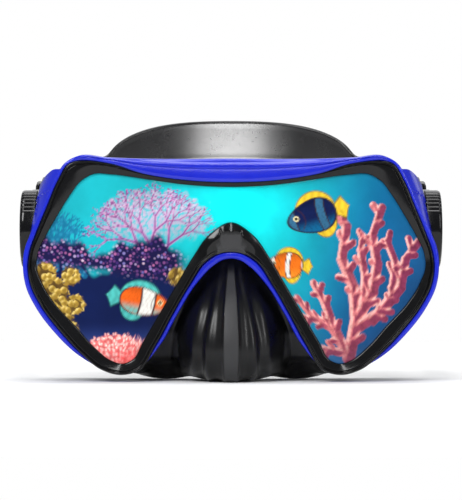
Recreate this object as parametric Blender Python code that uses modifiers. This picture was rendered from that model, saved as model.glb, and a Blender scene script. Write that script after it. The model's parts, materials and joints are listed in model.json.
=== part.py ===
"""Snorkel mask: one flat window in a two-part frame, a silicone skirt with a nose pocket, and a silicone head
strap held by two swivelling roller buckles with release buttons.

Metres, +Z up, the wearer looks along -Y. The mask stands on its nose pocket and the two cheek lobes of the skirt.
"Depth" is measured backwards (+Y) from the front face of the glass."""

import math

import bmesh
import bpy
import numpy as np
from mathutils import Matrix, Vector

MM = 0.001

# --- glass and frame, in the plane of the window ---
LENS_WIDTH = 164.8 * MM  # what shows inside the bezel
LENS_HEIGHT = 80.0 * MM
LENS_BOTTOM = 7.6 * MM  # height of its lowest point over the table
# The tables of points below are drawn for a lens of this size. Their points move with the lens's edge.
DRAWN_WIDTH, DRAWN_HEIGHT = 164.8 * MM, 80.0 * MM
WIDER, TALLER = LENS_WIDTH / DRAWN_WIDTH, LENS_HEIGHT / DRAWN_HEIGHT
GLASS_THICKNESS = 3.5 * MM
GLASS_LIP = 1.2 * MM  # how far the glass runs under the bezel
GLASS_BEVEL = 0.5 * MM  # depth of the bevel ground round its front
BEVEL_SHOWS = 0.2 * MM  # how far the bevel reaches in from the bezel's lip
FIT_GAP = 0.3 * MM  # between pieces that touch on the real mask
BEZEL_FRONT = 2.6 * MM  # how far the bezel stands in front of the glass
BEZEL_WALL = 0.8 * MM
FRAME_DEPTH = 6.0 * MM
BROW_FRONT = 4.4 * MM
BROW_GAP = 0.4 * MM

# Half outline of the visible glass, from the top centre over the temple and the cheek to the nose arch,
# as shares of half the width and of the height; then the step from there to the bezel's outer edge and the
# step from the bezel's edge to the frame's.
OUTLINE = [
    ((0.000, 0.933), (0.0, 2.8), (0.0, 9.3)),
    ((0.243, 0.946), (1.0, 2.8), (0.0, 8.1)),
    ((0.437, 0.974), (0.8, 3.0), (1.0, 5.8)),
    ((0.607, 0.998), (1.0, 5.0), (1.0, 2.4)),
    ((0.710, 1.000), (2.5, 5.9), (3.5, 2.1)),
    ((0.772, 0.964), (5.0, 7.3), (1.7, 0.6)),
    ((0.828, 0.890), (5.0, 6.2), (1.6, 0.3)),
    ((0.888, 0.791), (4.4, 3.9), (1.6, 0.3)),
    ((0.951, 0.678), (4.2, 0.6), (2.0, 1.2)),
    ((0.992, 0.588), (3.5, 0.0), (2.4, 1.0)),
    ((1.000, 0.511), (3.6, 0.1), (2.3, 0.0)),
    ((0.968, 0.418), (5.0, -0.4), (2.2, -0.8)),
    ((0.903, 0.313), (6.2, -0.4), (2.1, -1.2)),
    ((0.801, 0.200), (6.6, -2.0), (2.0, -1.2)),
    ((0.699, 0.083), (6.6, -1.7), (1.2, -0.9)),
    ((0.619, 0.018), (4.0, -4.0), (-0.4, 0.4)),
    ((0.558, 0.000), (0.5, -4.8), (-0.1, 0.4)),
    ((0.507, 0.021), (-2.2, -4.9), (0.6, 0.8)),
    ((0.456, 0.110), (-6.0, -0.4), (-2.2, 0.4)),
    ((0.370, 0.261), (-5.7, 0.0), (-2.0, -0.2)),
    ((0.280, 0.418), (-5.6, 0.0), (-2.6, 0.0)),
    ((0.194, 0.567), (-5.4, -2.2), (-3.0, -2.0)),
    ((0.117, 0.677), (-5.0, -7.6), (-1.0, -2.9)),
    ((0.000, 0.747), (0.0, -12.6), (0.0, -2.9)),
]
SPAN_STEPS = 2  # points made along each span of an outline

# --- skirt ---
SKIRT_WALL = 2.0 * MM
FACE_DEPTH = 33.0 * MM  # depth of the seal at the middle of the forehead
FACE_CURVE = 19.0 * MM  # how much deeper it lies at FACE_REACH to the side
FACE_REACH = 80.0 * MM
LIP_WIDTH = 12.0 * MM
NOSE_LIP_WIDTH = 4.0 * MM
FACE_CENTRE_HEIGHT = LENS_BOTTOM + 40.4 * MM * TALLER
# The middle of the skirt's wall at its rear rim, (x, z) in mm, one for each outline station.
RIM = [
    (0, 90), (18, 90.8), (34, 91.5), (47, 90), (56, 87), (62.5, 82), (67.5, 75.5), (71, 68),
    (73, 60), (73.8, 52), (73.4, 44.5), (71.5, 36.5), (67.5, 28), (61, 19.5), (53.5, 12), (46.5, 6.8),
    (40.5, 3.4), (34.5, 1.6), (28.5, 1.0), (23, 1.4), (18, 2.8), (12.5, 5.0), (6.5, 6.8), (0, 7.5),
]
# The wall between the throat behind the glass and the rim at the nose, (x, depth, z) in mm.
NOSE_FIRST = 17  # the outline station where these start
NOSE = [
    [(38.6, 12, 8.2), (37.4, 17, 7.0), (36.6, 22, 5.4), (35.9, 26, 4.0), (35.2, 31, 2.6)],
    [(33.5, 11, 14.5), (32.2, 15, 11.5), (31.0, 20, 7.6), (30.0, 25, 4.4), (29.2, 30, 2.0)],
    [(25.8, 9.6, 25), (25.4, 13, 18), (25.0, 18, 11), (24.4, 24, 5.6), (23.6, 29, 2.4)],
    [(16.6, 8.4, 37.6), (19.6, 5.0, 23.5), (20.4, 6.5, 11), (19.4, 13, 4.2), (18.4, 23, 2.4)],
    [(9.2, 8.2, 45.4), (14.6, -1.5, 28.5), (16.4, -3, 11.5), (14.6, 3, 3.2), (13.2, 15, 2.0)],
    [(4.4, 8.0, 49.4), (7.6, -5.5, 31), (9.4, -9.5, 12), (8.4, -4, 2.2), (7.4, 8, 1.2)],
    [(0, 8.0, 50.2), (0, -6.5, 32), (0, -12, 13), (0, -6.5, 2.2), (0, 6, 1.0)],
]

# --- side arms and the strap's swivel ---
PIVOT_DEPTH = 31.0 * MM
PIVOT_HEIGHT = LENS_BOTTOM + 57.4 * MM * TALLER
STRAP_TILT = math.radians(12.5)  # the strap rises towards the back of the head
LUG_INNER_X = LENS_WIDTH / 2 - 2.9 * MM
LUG_THICKNESS = 2.5 * MM
LUG_RADIUS = 8.5 * MM
PIN_RADIUS = 1.9 * MM
PIN_CLEARANCE = 0.1 * MM
PIN_HEAD_RADIUS = 3.6 * MM
PIN_HEAD = 1.1 * MM
ARM_THICKNESS = 3.2 * MM
# Outer face of the right arm, (x, depth, z) in mm: one row for each depth, from its top edge down.
ARM = [
    [(71.4, 1.2, 90), (76.2, 1.2, 80), (80.8, 1.2, 70), (85.0, 1.2, 61.5)],
    [(75.2, 6, 90), (79.2, 6, 80.5), (82.9, 6, 70.5), (86.4, 6, 60.5)],
    [(78.4, 11.5, 88), (81.8, 11.5, 79.5), (84.6, 11.5, 70), (86.6, 11.5, 59)],
    [(80.8, 19, 85.5), (83.2, 19, 78), (84.8, 19, 69), (85.6, 19, 56)],
    [(82.2, 25, 84), (83.6, 25, 77), (84.4, 25, 68), (84.6, 25, 54)],
]

# --- buckle, seen from the side with the swivel at its middle ---
BUCKLE_RADIUS = 17.0 * MM
BUCKLE_REAR = 28.0 * MM  # from the swivel to the rear bar's outer edge
BUCKLE_REAR_HALF = 12.6 * MM
BUCKLE_ARM_GAP = 0.4 * MM
PLATE_THICKNESS = 1.6 * MM
PLATE_RADIUS = 15.4 * MM
HOUSING_OUTER_X = LUG_INNER_X + 11.5 * MM
HOUSING_DOME = 2.4 * MM
REAR_INNER_X = LUG_INNER_X + 5.1 * MM
REAR_OUTER_X = LUG_INNER_X + 8.7 * MM
REAR_BAR = 3.2 * MM
POCKET_ROOF = 1.5 * MM
POCKET_HALF = 7.0 * MM
POCKET_FRONT = -8.0 * MM
BUTTON_RADIUS = 5.8 * MM
BUTTON_STANDS = 0.6 * MM
BUTTON_STEM = 2.8 * MM
BUTTON_TRAVEL = 0.8 * MM  # the pawl's teeth are clear of the strap when it is used up
PAWL_AXIS_Y = 8.5 * MM
PAWL_THICKNESS = 1.0 * MM
PAWL_FRONT = -5.0 * MM
PAWL_PIN_RADIUS = 0.6 * MM
SPRING_RADIUS = 2.0 * MM
SPRING_WIRE = 0.3 * MM
SPRING_TURNS = 1.75
SCREW_RADIUS = 0.9 * MM
SCREW_HEAD_RADIUS = 1.8 * MM
SCREW_HEAD = 0.9 * MM
SCREW_LENGTH = 5.0 * MM
SCREW_OFFSET = 11.4 * MM

# --- strap ---
STRAP_THICKNESS = 2.0 * MM
STRAP_HALF_WIDTH = 9.5 * MM
ROLLER_RADIUS = 2.0 * MM
ROLLER_WALL = 0.9 * MM
ROLLER_X = LUG_INNER_X + 6.8 * MM
ROLLER_Y = 18.3 * MM
STRAP_SIDE_GAP = 0.5 * MM
STRAIGHT_END = 66.0 * MM  # the strap runs straight back to here
STRAP_BACK = 146.0 * MM  # from the swivel to the middle of the strap's back
PLAN_POWER = 2.2
PAD_HALF_HEIGHT = 23.0 * MM
PAD_HALF_LENGTH = 60.0 * MM
PAD_POWER = 3.0
SLOT_HALF_LENGTH = 36.0 * MM
SLOT_HALF_HEIGHT = 4.0 * MM
TAIL_GAP = 0.4 * MM
TAIL_END = 76.0 * MM
TAIL_FLARE = 0.2 * MM  # the tail's last stretch stands off by this much at its end
KEEPER_Y = 50.0 * MM
KEEPER_LENGTH = 7.0 * MM
KEEPER_WALL = 1.4 * MM

NOSE_REACH = 13.0 * MM  # the nose pocket's tip in front of the glass
STRAP_REACH = (
    STRAP_BACK * math.cos(STRAP_TILT)
    + PAD_HALF_HEIGHT * math.sin(STRAP_TILT)
    + STRAP_THICKNESS / 2
)
LENS_FRONT_Y = -(PIVOT_DEPTH + STRAP_REACH - NOSE_REACH) / 2
SKIRT_BULGE = 0.2 * MM  # how far the cheek lobes bulge below the points they pass through

COLOURS = {
    "glass": ((0.02, 0.45, 0.62), 0.05, 0.0),
    "blue": ((0.01, 0.03, 0.75), 0.25, 0.0),
    "black": ((0.012, 0.012, 0.013), 0.25, 0.0),
    "silicone": ((0.02, 0.02, 0.02), 0.4, 0.0),
    "steel": ((0.6, 0.6, 0.62), 0.3, 1.0),
}


# ---------- scene and object helpers ----------


def clear_scene():
    for obj in list(bpy.data.objects):
        bpy.data.objects.remove(obj)


def new_collection(name):
    collection = bpy.data.collections.new(name)
    bpy.context.scene.collection.children.link(collection)
    return collection


def material(name):
    found = bpy.data.materials.get(name)
    if found:
        return found
    colour, roughness, metallic = COLOURS[name]
    made = bpy.data.materials.new(name)
    made.use_nodes = True
    shader = made.node_tree.nodes["Principled BSDF"]
    shader.inputs["Base Color"].default_value = (*colour, 1)
    shader.inputs["Roughness"].default_value = roughness
    shader.inputs["Metallic"].default_value = metallic
    return made


def add_object(name, mesh, group, parent, finish=None, location=(0, 0, 0)):
    obj = bpy.data.objects.new(name, mesh)
    group.objects.link(obj)
    obj.parent = parent
    obj.location = location
    if finish:
        mesh.materials.append(material(finish))
    return obj


def hide_helper(obj):
    obj.hide_render = True
    obj.display_type = "WIRE"


def boolean(target, tool, operation):
    modifier = target.modifiers.new(f"{operation.lower()} {tool.name}", "BOOLEAN")
    modifier.operation = operation
    modifier.object = tool
    modifier.solver = "EXACT"
    hide_helper(tool)


def evaluated_mesh(obj):
    bpy.context.view_layer.update()
    graph = bpy.context.evaluated_depsgraph_get()
    mesh = bpy.data.meshes.new_from_object(obj.evaluated_get(graph))
    return mesh


def weld(mesh):
    shape = bmesh.new()
    shape.from_mesh(mesh)
    bmesh.ops.remove_doubles(shape, verts=shape.verts, dist=1e-6)
    bmesh.ops.recalc_face_normals(shape, faces=shape.faces)
    shape.to_mesh(mesh)
    shape.free()


def mirrored(right, name):
    """The left-hand copy of a finished right-hand piece: its mesh and its place turned over at x = 0."""
    mesh = evaluated_mesh(right)
    mesh.transform(Matrix.Scale(-1, 4, (1, 0, 0)))
    mesh.flip_normals()
    place = (-right.location.x, right.location.y, right.location.z)
    return add_object(name, mesh, right.users_collection[0], right.parent, None, place)


def plate(name, outlines, low, high, side_view, group, parent, finish=None):
    """A flat plate: closed outlines, the first around the others, made solid between two planes.
    Seen from the front its outline is (x, z) and it runs from depth low to high; seen from the side its
    outline is (y, z) and it runs from x low to high."""
    curve = bpy.data.curves.new(name, "CURVE")
    curve.dimensions = "2D"
    curve.fill_mode = "BOTH"
    curve.extrude = (high - low) / 2
    for outline in outlines:
        spline = curve.splines.new("POLY")
        spline.points.add(len(outline) - 1)
        for point, (u, v) in zip(spline.points, outline):
            point.co = (u, v, 0, 1)
        spline.use_cyclic_u = True
    drawn = bpy.data.objects.new(name, curve)
    bpy.context.scene.collection.objects.link(drawn)
    mesh = evaluated_mesh(drawn)
    bpy.data.objects.remove(drawn)
    middle = (low + high) / 2
    if side_view:
        turn = Matrix(((0, 0, 1, middle), (1, 0, 0, 0), (0, 1, 0, 0), (0, 0, 0, 1)))
    else:
        turn = Matrix(((1, 0, 0, 0), (0, 0, -1, middle), (0, 1, 0, 0), (0, 0, 0, 1)))
    mesh.transform(turn)
    weld(mesh)
    mesh.name = name
    return add_object(name, mesh, group, parent, finish)


def rod(name, radius, start, length, axis, group, parent, finish=None, sides=24, hole=0):
    """A round rod, or a tube if it has a hole, from start along +X, +Y or +Z."""
    shape = bmesh.new()
    if hole:
        angles = [2 * math.pi * i / sides for i in range(sides)]
        rings = [
            [shape.verts.new((r * math.cos(a), r * math.sin(a), z)) for a in angles]
            for r, z in ((hole, 0), (radius, 0), (radius, length), (hole, length))
        ]
        for ring, following in zip(rings, rings[1:] + rings[:1]):
            for i in range(sides):
                j = (i + 1) % sides
                shape.faces.new((ring[i], ring[j], following[j], following[i]))
        bmesh.ops.recalc_face_normals(shape, faces=shape.faces)
    else:
        bmesh.ops.create_cone(
            shape,
            cap_ends=True,
            segments=sides,
            radius1=radius,
            radius2=radius,
            depth=length,
            matrix=Matrix.Translation((0, 0, length / 2)),
        )
    turn = Vector((0, 0, 1)).rotation_difference(Vector(axis)).to_matrix().to_4x4()
    bmesh.ops.transform(shape, matrix=Matrix.Translation(start) @ turn, verts=shape.verts)
    mesh = bpy.data.meshes.new(name)
    shape.to_mesh(mesh)
    shape.free()
    return add_object(name, mesh, group, parent, finish)


def block(name, low, high, group, parent, finish=None):
    shape = bmesh.new()
    bmesh.ops.create_cube(shape, size=1)
    size = Vector(high) - Vector(low)
    middle = (Vector(high) + Vector(low)) / 2
    scale = Matrix.Diagonal((*size, 1))
    bmesh.ops.transform(shape, matrix=Matrix.Translation(middle) @ scale, verts=shape.verts)
    mesh = bpy.data.meshes.new(name)
    shape.to_mesh(mesh)
    shape.free()
    return add_object(name, mesh, group, parent, finish)


def sheet(name, rows, group, parent, finish, closed=False):
    """An open surface through rows of points; closed joins each row's end to its start."""
    rows = np.asarray(rows, float)
    count, width = rows.shape[:2]
    faces = []
    for r in range(count - 1):
        for c in range(width if closed else width - 1):
            d = (c + 1) % width
            faces.append(
                (r * width + c, r * width + d, (r + 1) * width + d, (r + 1) * width + c)
            )
    mesh = bpy.data.meshes.new(name)
    mesh.from_pydata(rows.reshape(-1, 3).tolist(), [], faces)
    mesh.validate()
    return add_object(name, mesh, group, parent, finish)


def thicken(obj, thickness, offset=0.0):
    modifier = obj.modifiers.new("wall", "SOLIDIFY")
    modifier.thickness = thickness
    modifier.offset = offset
    modifier.use_even_offset = True


# ---------- curves ----------


def smooth(points, steps, closed):
    """Points along a cubic curve through the given ones, whose direction at each point weighs the two
    chords that meet there by each other's length."""
    p = np.asarray(points, float)
    ahead = np.roll(p, -1, 0) - p
    chord = np.linalg.norm(ahead, axis=1)
    behind, before = np.roll(ahead, 1, 0), np.roll(chord, 1)
    slope = (
        behind * (chord / before)[:, None] + ahead * (before / chord)[:, None]
    ) / (chord + before)[:, None]
    if not closed:
        slope[0], slope[-1] = ahead[0] / chord[0], behind[-1] / before[-1]
    made = []
    for i in range(len(p) if closed else len(p) - 1):
        j = (i + 1) % len(p)
        for step in range(steps):
            t = step / steps
            made.append(
                p[i] * (2 * t**3 - 3 * t**2 + 1)
                + slope[i] * chord[i] * (t**3 - 2 * t**2 + t)
                + p[j] * (3 * t**2 - 2 * t**3)
                + slope[j] * chord[i] * (t**3 - t**2)
            )
    if not closed:
        made.append(p[-1])
    return np.array(made)


def whole(half):
    """A closed outline from its right half, whose first and last points lie on x = 0."""
    half = np.asarray(half, float)
    left = half[-2:0:-1] * np.array([-1] + [1] * (half.shape[1] - 1))
    return np.vstack([half, left])


def grown(outline, distance):
    """A closed outline moved outwards by a distance."""
    along = np.roll(outline, -1, 0) - np.roll(outline, 1, 0)
    along /= np.linalg.norm(along, axis=1)[:, None]
    return outline + distance * np.stack([-along[:, 1], along[:, 0]], 1)


def at_height(z):
    """A drawn height, moved with the lens."""
    return LENS_BOTTOM + (z - LENS_BOTTOM) * TALLER


def outlines():
    """The glass's visible edge, the bezel's outer edge and the frame's outer edge, each (x, z)."""
    glass = np.array([s[0] for s in OUTLINE]) * (LENS_WIDTH / 2, LENS_HEIGHT)
    glass += (0, LENS_BOTTOM)
    bezel = glass + np.array([s[1] for s in OUTLINE]) * MM
    frame = bezel + np.array([s[2] for s in OUTLINE]) * MM
    return [smooth(whole(half), SPAN_STEPS, True) for half in (glass, bezel, frame)]


# ---------- glass and frame ----------


def make_lens(edge, group, parent):
    """The pane. Its front edge is ground to a shallow bevel, so that the flat front face ends at the bezel."""
    full, flat = grown(edge, GLASS_LIP), grown(edge, -BEVEL_SHOWS)
    lens = plate("lens", [full], 0, GLASS_THICKNESS, False, group, parent, "glass")
    shape = bmesh.new()
    shape.from_mesh(lens.data)
    parts = shape.verts[:] + shape.edges[:] + shape.faces[:]
    bmesh.ops.bisect_plane(shape, geom=parts, plane_co=(0, GLASS_BEVEL, 0), plane_no=(0, 1, 0))
    for corner in shape.verts:
        if corner.co.y < GLASS_BEVEL / 2:
            away = [(x - corner.co.x) ** 2 + (z - corner.co.z) ** 2 for x, z in full]
            corner.co.x, corner.co.z = flat[away.index(min(away))]
    shape.to_mesh(lens.data)
    shape.free()


def make_bezel(edge, rim, group, helpers, parent):
    """The black ring that covers the glass's edge: a front flange and a wall round the glass."""
    pocket = grown(edge, GLASS_LIP + FIT_GAP)
    bezel = plate("bezel", [rim, edge], -BEZEL_FRONT, -FIT_GAP, False, group, parent, "black")
    wall = plate(
        "bezel_wall",
        [grown(pocket, BEZEL_WALL), pocket],
        -BEZEL_FRONT / 2,
        GLASS_THICKNESS,
        False,
        helpers,
        parent,
    )
    boolean(bezel, wall, "UNION")


def frame_hole(edge):
    return grown(edge, GLASS_LIP + FIT_GAP + BEZEL_WALL + FIT_GAP)


def make_brow(edge_rim, frame_rim, helpers, parent):
    """The brow bar stands in front of the ring between the bezel's top edge and the frame's."""
    reach = 4 * SPAN_STEPS  # the outline's samples up to the corner
    upper = grown(frame_rim, -0.1 * MM)[: reach + 1]
    lower = grown(edge_rim, BROW_GAP)[: reach - SPAN_STEPS + 1]
    half = np.vstack([upper, lower[::-1]])
    left = half[-2:0:-1] * (-1, 1)
    return plate(
        "brow_bar",
        [np.vstack([half, left])],
        -BROW_FRONT,
        FRAME_DEPTH / 2,
        False,
        helpers,
        parent,
    )


def lug_outline():
    """A tongue from the arm to the round end at the swivel, (depth, height)."""
    ends = np.radians(np.linspace(-90, 90, 13))
    around = [
        (PIVOT_DEPTH + LUG_RADIUS * math.cos(a), PIVOT_HEIGHT + LUG_RADIUS * math.sin(a))
        for a in ends
    ]
    root = ARM[2][0][1] * MM + 1 * MM
    return around + [
        (root, PIVOT_HEIGHT + 1.3 * LUG_RADIUS),
        (root, PIVOT_HEIGHT - 0.6 * LUG_RADIUS),
    ]


def make_arms(helpers, parent):
    """Both side arms: each is cut away round the buckle and ends in the lug that carries the swivel."""
    rows = np.array(ARM) * MM
    rows[..., 0] += (LENS_WIDTH - DRAWN_WIDTH) / 2
    rows[..., 2] = at_height(rows[..., 2])
    rows = smooth(rows.reshape(len(ARM), -1), 2, False).reshape(-1, 4, 3)
    rows = np.stack([smooth(row, 2, False) for row in rows])
    right = sheet("arm_right", rows, helpers, parent, None)
    thicken(right, ARM_THICKNESS, -1)
    outer = LUG_INNER_X + LUG_THICKNESS
    cut = outer + 0.1 * MM
    room = rod(
        "buckle_room",
        BUCKLE_RADIUS + BUCKLE_ARM_GAP,
        (cut, PIVOT_DEPTH, PIVOT_HEIGHT),
        HOUSING_OUTER_X - cut,
        (1, 0, 0),
        helpers,
        parent,
        sides=48,
    )
    lug = plate("lug", [lug_outline()], LUG_INNER_X, outer, True, helpers, parent)
    hole = rod(
        "lug_hole",
        PIN_RADIUS + PIN_CLEARANCE,
        (LUG_INNER_X - LUG_THICKNESS, PIVOT_DEPTH, PIVOT_HEIGHT),
        3 * LUG_THICKNESS,
        (1, 0, 0),
        helpers,
        parent,
    )
    boolean(right, lug, "UNION")
    boolean(right, room, "DIFFERENCE")
    boolean(right, hole, "DIFFERENCE")
    return [right, mirrored(right, "arm_left")]


def make_frame(edge, bezel_rim, frame_rim, group, helpers, parent):
    """The blue frame: a ring behind the bezel's flange, the brow bar and the two side arms."""
    frame = plate(
        "outer_frame",
        [frame_rim, frame_hole(edge)],
        FIT_GAP,
        FIT_GAP + FRAME_DEPTH,
        False,
        group,
        parent,
        "blue",
    )
    boolean(frame, make_brow(bezel_rim, frame_rim, helpers, parent), "UNION")
    for arm in make_arms(helpers, parent):
        boolean(frame, arm, "UNION")


# ---------- skirt ----------


def face_depth(x):
    return FACE_DEPTH + FACE_CURVE * (x / FACE_REACH) ** 2


def skirt_station(i, edge):
    """The skirt's wall at one outline station, from behind the glass to the inner edge of its lip."""
    seat = grown(edge, GLASS_LIP + FIT_GAP + BEZEL_WALL - SKIRT_WALL / 2 - 0.1 * MM)[i * SPAN_STEPS]
    front = GLASS_THICKNESS + FIT_GAP
    throat = FIT_GAP + FRAME_DEPTH + FIT_GAP + SKIRT_WALL / 2
    rim = np.array([RIM[i][0] * MM * WIDER, at_height(RIM[i][1] * MM)])
    rear = face_depth(rim[0])
    if i >= NOSE_FIRST:
        drawn = np.array(NOSE[i - NOSE_FIRST]) * MM
        drawn[:, 0] *= WIDER
        drawn[:, 2] = at_height(drawn[:, 2])
        middle = list(drawn)
    else:
        shares = ((0.58, 0.10), (0.76, 0.32), (0.88, 0.55), (0.96, 0.76), (1.0, 0.90))
        middle = []
        for towards_rim, back in shares:
            x, z = seat + (rim - seat) * towards_rim
            middle.append(np.array([x, throat + (rear - throat) * back, z]))
    inwards = np.array([0, FACE_CENTRE_HEIGHT]) - rim
    inwards /= np.linalg.norm(inwards)
    at_nose = max(0.0, 1 - abs(rim[0]) / (30 * MM)) if rim[1] < FACE_CENTRE_HEIGHT else 0.0
    lip = rim + inwards * (LIP_WIDTH + (NOSE_LIP_WIDTH - LIP_WIDTH) * at_nose)
    return [
        np.array([seat[0], front, seat[1]]),
        np.array([seat[0], throat, seat[1]]),
        *middle,
        np.array([rim[0], rear, rim[1]]),
        np.array([lip[0], face_depth(lip[0]) + 1.0 * MM, lip[1]]),
    ]


def make_skirt(edge, group, parent):
    """The silicone skirt: it sits behind the glass, wraps behind the nose arch, comes forward as the nose
    pocket and ends in the lip that seals on the face."""
    stations = np.array([skirt_station(i, edge) for i in range(len(OUTLINE))])
    loops = stations.transpose(1, 0, 2)
    closed = np.array([smooth(whole(loop), 2, True) for loop in loops])
    skirt = sheet("skirt", closed, group, parent, "silicone", True)
    thicken(skirt, SKIRT_WALL)


# ---------- strap ----------


def strap_half_height(x):
    share = min(abs(x) / PAD_HALF_LENGTH, 1.0)
    pad = PAD_HALF_HEIGHT * (1 - share**PAD_POWER) ** (1 / PAD_POWER)
    return max(STRAP_HALF_WIDTH, pad)


def strap_plan():
    """The strap's middle line from its back centre to the right tail, (x, y) from the swivel."""
    wrap = ROLLER_RADIUS + FIT_GAP + STRAP_THICKNESS / 2
    inner_x, outer_x = ROLLER_X - wrap, ROLLER_X + wrap
    back = []
    for i in range(19):
        t = math.radians(90 - 5 * i)
        x = inner_x * abs(math.cos(t)) ** (2 / PLAN_POWER)
        y = (STRAP_BACK - STRAIGHT_END) * abs(math.sin(t)) ** (2 / PLAN_POWER)
        back.append((x, STRAIGHT_END + y))
    turn = [
        (ROLLER_X - wrap * math.cos(a), ROLLER_Y - wrap * math.sin(a))
        for a in np.radians(np.linspace(0, 180, 13))
    ]
    tail_x = inner_x + STRAP_THICKNESS + TAIL_GAP
    start = BUCKLE_REAR + 2 * FIT_GAP
    settle = KEEPER_Y - 1.4 * KEEPER_LENGTH
    ease = [
        (
            outer_x + (tail_x - outer_x) * (1 - math.cos(math.pi * s)) / 2,
            start + (settle - start) * s,
        )
        for s in (0.0, 0.25, 0.5, 0.75, 1.0)
    ]
    ease.append((tail_x, KEEPER_Y + KEEPER_LENGTH))
    ease.append((tail_x + TAIL_FLARE, TAIL_END))
    return back + turn + ease


def make_strap(group, helpers, parent):
    """One silicone band: the wide pad at the back of the head, a straight run to each buckle, a turn round
    its roller and a tail folded back outside."""
    plan = strap_plan()
    rows = []
    for part in (-1, 0, 1):
        rows.append([(x, y, part * strap_half_height(x)) for x, y in plan])
    strap = sheet("head_strap", rows, group, parent, "silicone")
    mirror = strap.modifiers.new("other half", "MIRROR")
    mirror.merge_threshold = 0.0001
    thicken(strap, STRAP_THICKNESS)
    ends = np.radians(np.linspace(-90, 90, 9))
    straight = SLOT_HALF_LENGTH - SLOT_HALF_HEIGHT
    half = [
        (straight + SLOT_HALF_HEIGHT * math.cos(a), SLOT_HALF_HEIGHT * math.sin(a)) for a in ends
    ]
    outline = half + [(-x, -z) for x, z in half]
    slot = plate("strap_slot", [outline], STRAIGHT_END, 1.2 * STRAP_BACK, False, helpers, parent)
    boolean(strap, slot, "DIFFERENCE")


def make_keeper(group, parent):
    """A ring that holds the tail against the strap; it slides along both."""
    wrap = ROLLER_RADIUS + FIT_GAP + STRAP_THICKNESS / 2
    low = ROLLER_X - wrap - STRAP_THICKNESS / 2 - FIT_GAP
    high = low + 2 * STRAP_THICKNESS + TAIL_GAP + 2 * FIT_GAP
    half = STRAP_HALF_WIDTH + FIT_GAP
    middle = (low + high) / 2

    def ring(grow):
        x, z = (high - low) / 2 + grow, half + grow
        return [(-x, -z), (x, -z), (x, z), (-x, z)]

    keeper = plate(
        "keeper_right",
        [ring(KEEPER_WALL), ring(0)],
        -KEEPER_LENGTH / 2,
        KEEPER_LENGTH / 2,
        False,
        group,
        parent,
        "silicone",
    )
    keeper.location = (middle, KEEPER_Y, 0)
    return keeper


# ---------- buckle ----------


def buckle_outline(radius, rear, rear_half):
    """A circle round the swivel whose tangents run back to a straight rear edge, (y, z)."""
    lean = math.atan2(radius - rear_half, rear)
    arc = np.linspace(math.pi / 2 - lean, 1.5 * math.pi + lean, 33)
    circle = [(radius * math.cos(a), radius * math.sin(a)) for a in arc]
    return circle + [(rear, -rear_half), (rear, rear_half)]


def make_housing(group, helpers, parent):
    """The domed buckle body, open towards the arm for the pawl, with arms and a bar for the strap."""
    window_front = ROLLER_Y - ROLLER_RADIUS - STRAP_THICKNESS - 3 * FIT_GAP
    window_half = STRAP_HALF_WIDTH + STRAP_SIDE_GAP
    dome_end = window_front - FIT_GAP
    plate_top = LUG_INNER_X + LUG_THICKNESS + FIT_GAP + PLATE_THICKNESS + FIT_GAP
    housing = plate(
        "buckle_housing_right",
        [buckle_outline(BUCKLE_RADIUS, BUCKLE_REAR, BUCKLE_REAR_HALF)],
        REAR_INNER_X,
        REAR_OUTER_X,
        True,
        group,
        parent,
        "black",
    )
    front = [p for p in buckle_outline(BUCKLE_RADIUS, BUCKLE_REAR, BUCKLE_REAR_HALF) if p[0] < 0]
    reach = math.sqrt(BUCKLE_RADIUS**2 - dome_end**2)
    front = [(dome_end, reach), (dome_end / 2, math.sqrt(BUCKLE_RADIUS**2 - dome_end**2 / 4))] + front
    front += [(dome_end / 2, -math.sqrt(BUCKLE_RADIUS**2 - dome_end**2 / 4)), (dome_end, -reach)]
    dome = plate("dome", [front], REAR_OUTER_X - 1.0 * MM, HOUSING_OUTER_X, True, helpers, parent)
    bevel = dome.modifiers.new("rounding", "BEVEL")
    bevel.width = HOUSING_DOME
    bevel.segments = 3
    bevel.limit_method = "ANGLE"
    skirt_ring = plate(
        "housing_rim", [front], plate_top, REAR_INNER_X + 1.0 * MM, True, helpers, parent
    )
    window = block(
        "strap_window",
        (REAR_INNER_X - 5 * MM, window_front, -window_half),
        (HOUSING_OUTER_X + 5 * MM, BUCKLE_REAR - REAR_BAR, window_half),
        helpers,
        parent,
    )
    pocket = block(
        "pawl_pocket",
        (plate_top - 1 * MM, POCKET_FRONT, -POCKET_HALF),
        (HOUSING_OUTER_X - POCKET_ROOF, window_front + 2 * MM, POCKET_HALF),
        helpers,
        parent,
    )
    button_hole = rod(
        "button_hole",
        BUTTON_RADIUS + FIT_GAP,
        (REAR_INNER_X + 0.4 * MM, 0, 0),
        10 * MM,
        (1, 0, 0),
        helpers,
        parent,
    )
    axle_hole = rod(
        "axle_hole",
        ROLLER_RADIUS - ROLLER_WALL,
        (ROLLER_X, ROLLER_Y, -BUCKLE_RADIUS),
        2 * BUCKLE_RADIUS,
        (0, 0, 1),
        helpers,
        parent,
    )
    pawl_hole = rod(
        "pawl_pin_hole",
        PAWL_PIN_RADIUS + 0.1 * MM,
        (pawl_x(), PAWL_AXIS_Y, -POCKET_HALF - 3 * MM),
        2 * (POCKET_HALF + 3 * MM),
        (0, 0, 1),
        helpers,
        parent,
        sides=16,
    )
    boolean(housing, dome, "UNION")
    boolean(housing, skirt_ring, "UNION")
    for tool in (window, pocket, button_hole, axle_hole, pawl_hole):
        boolean(housing, tool, "DIFFERENCE")
    for sign, end in ((1, "upper"), (-1, "lower")):
        hole = rod(
            f"screw_hole_{end}",
            SCREW_RADIUS + 0.1 * MM,
            (plate_top - 1 * MM, 0, sign * SCREW_OFFSET),
            SCREW_LENGTH,
            (1, 0, 0),
            helpers,
            parent,
            sides=16,
        )
        boolean(housing, hole, "DIFFERENCE")
    return housing


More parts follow.
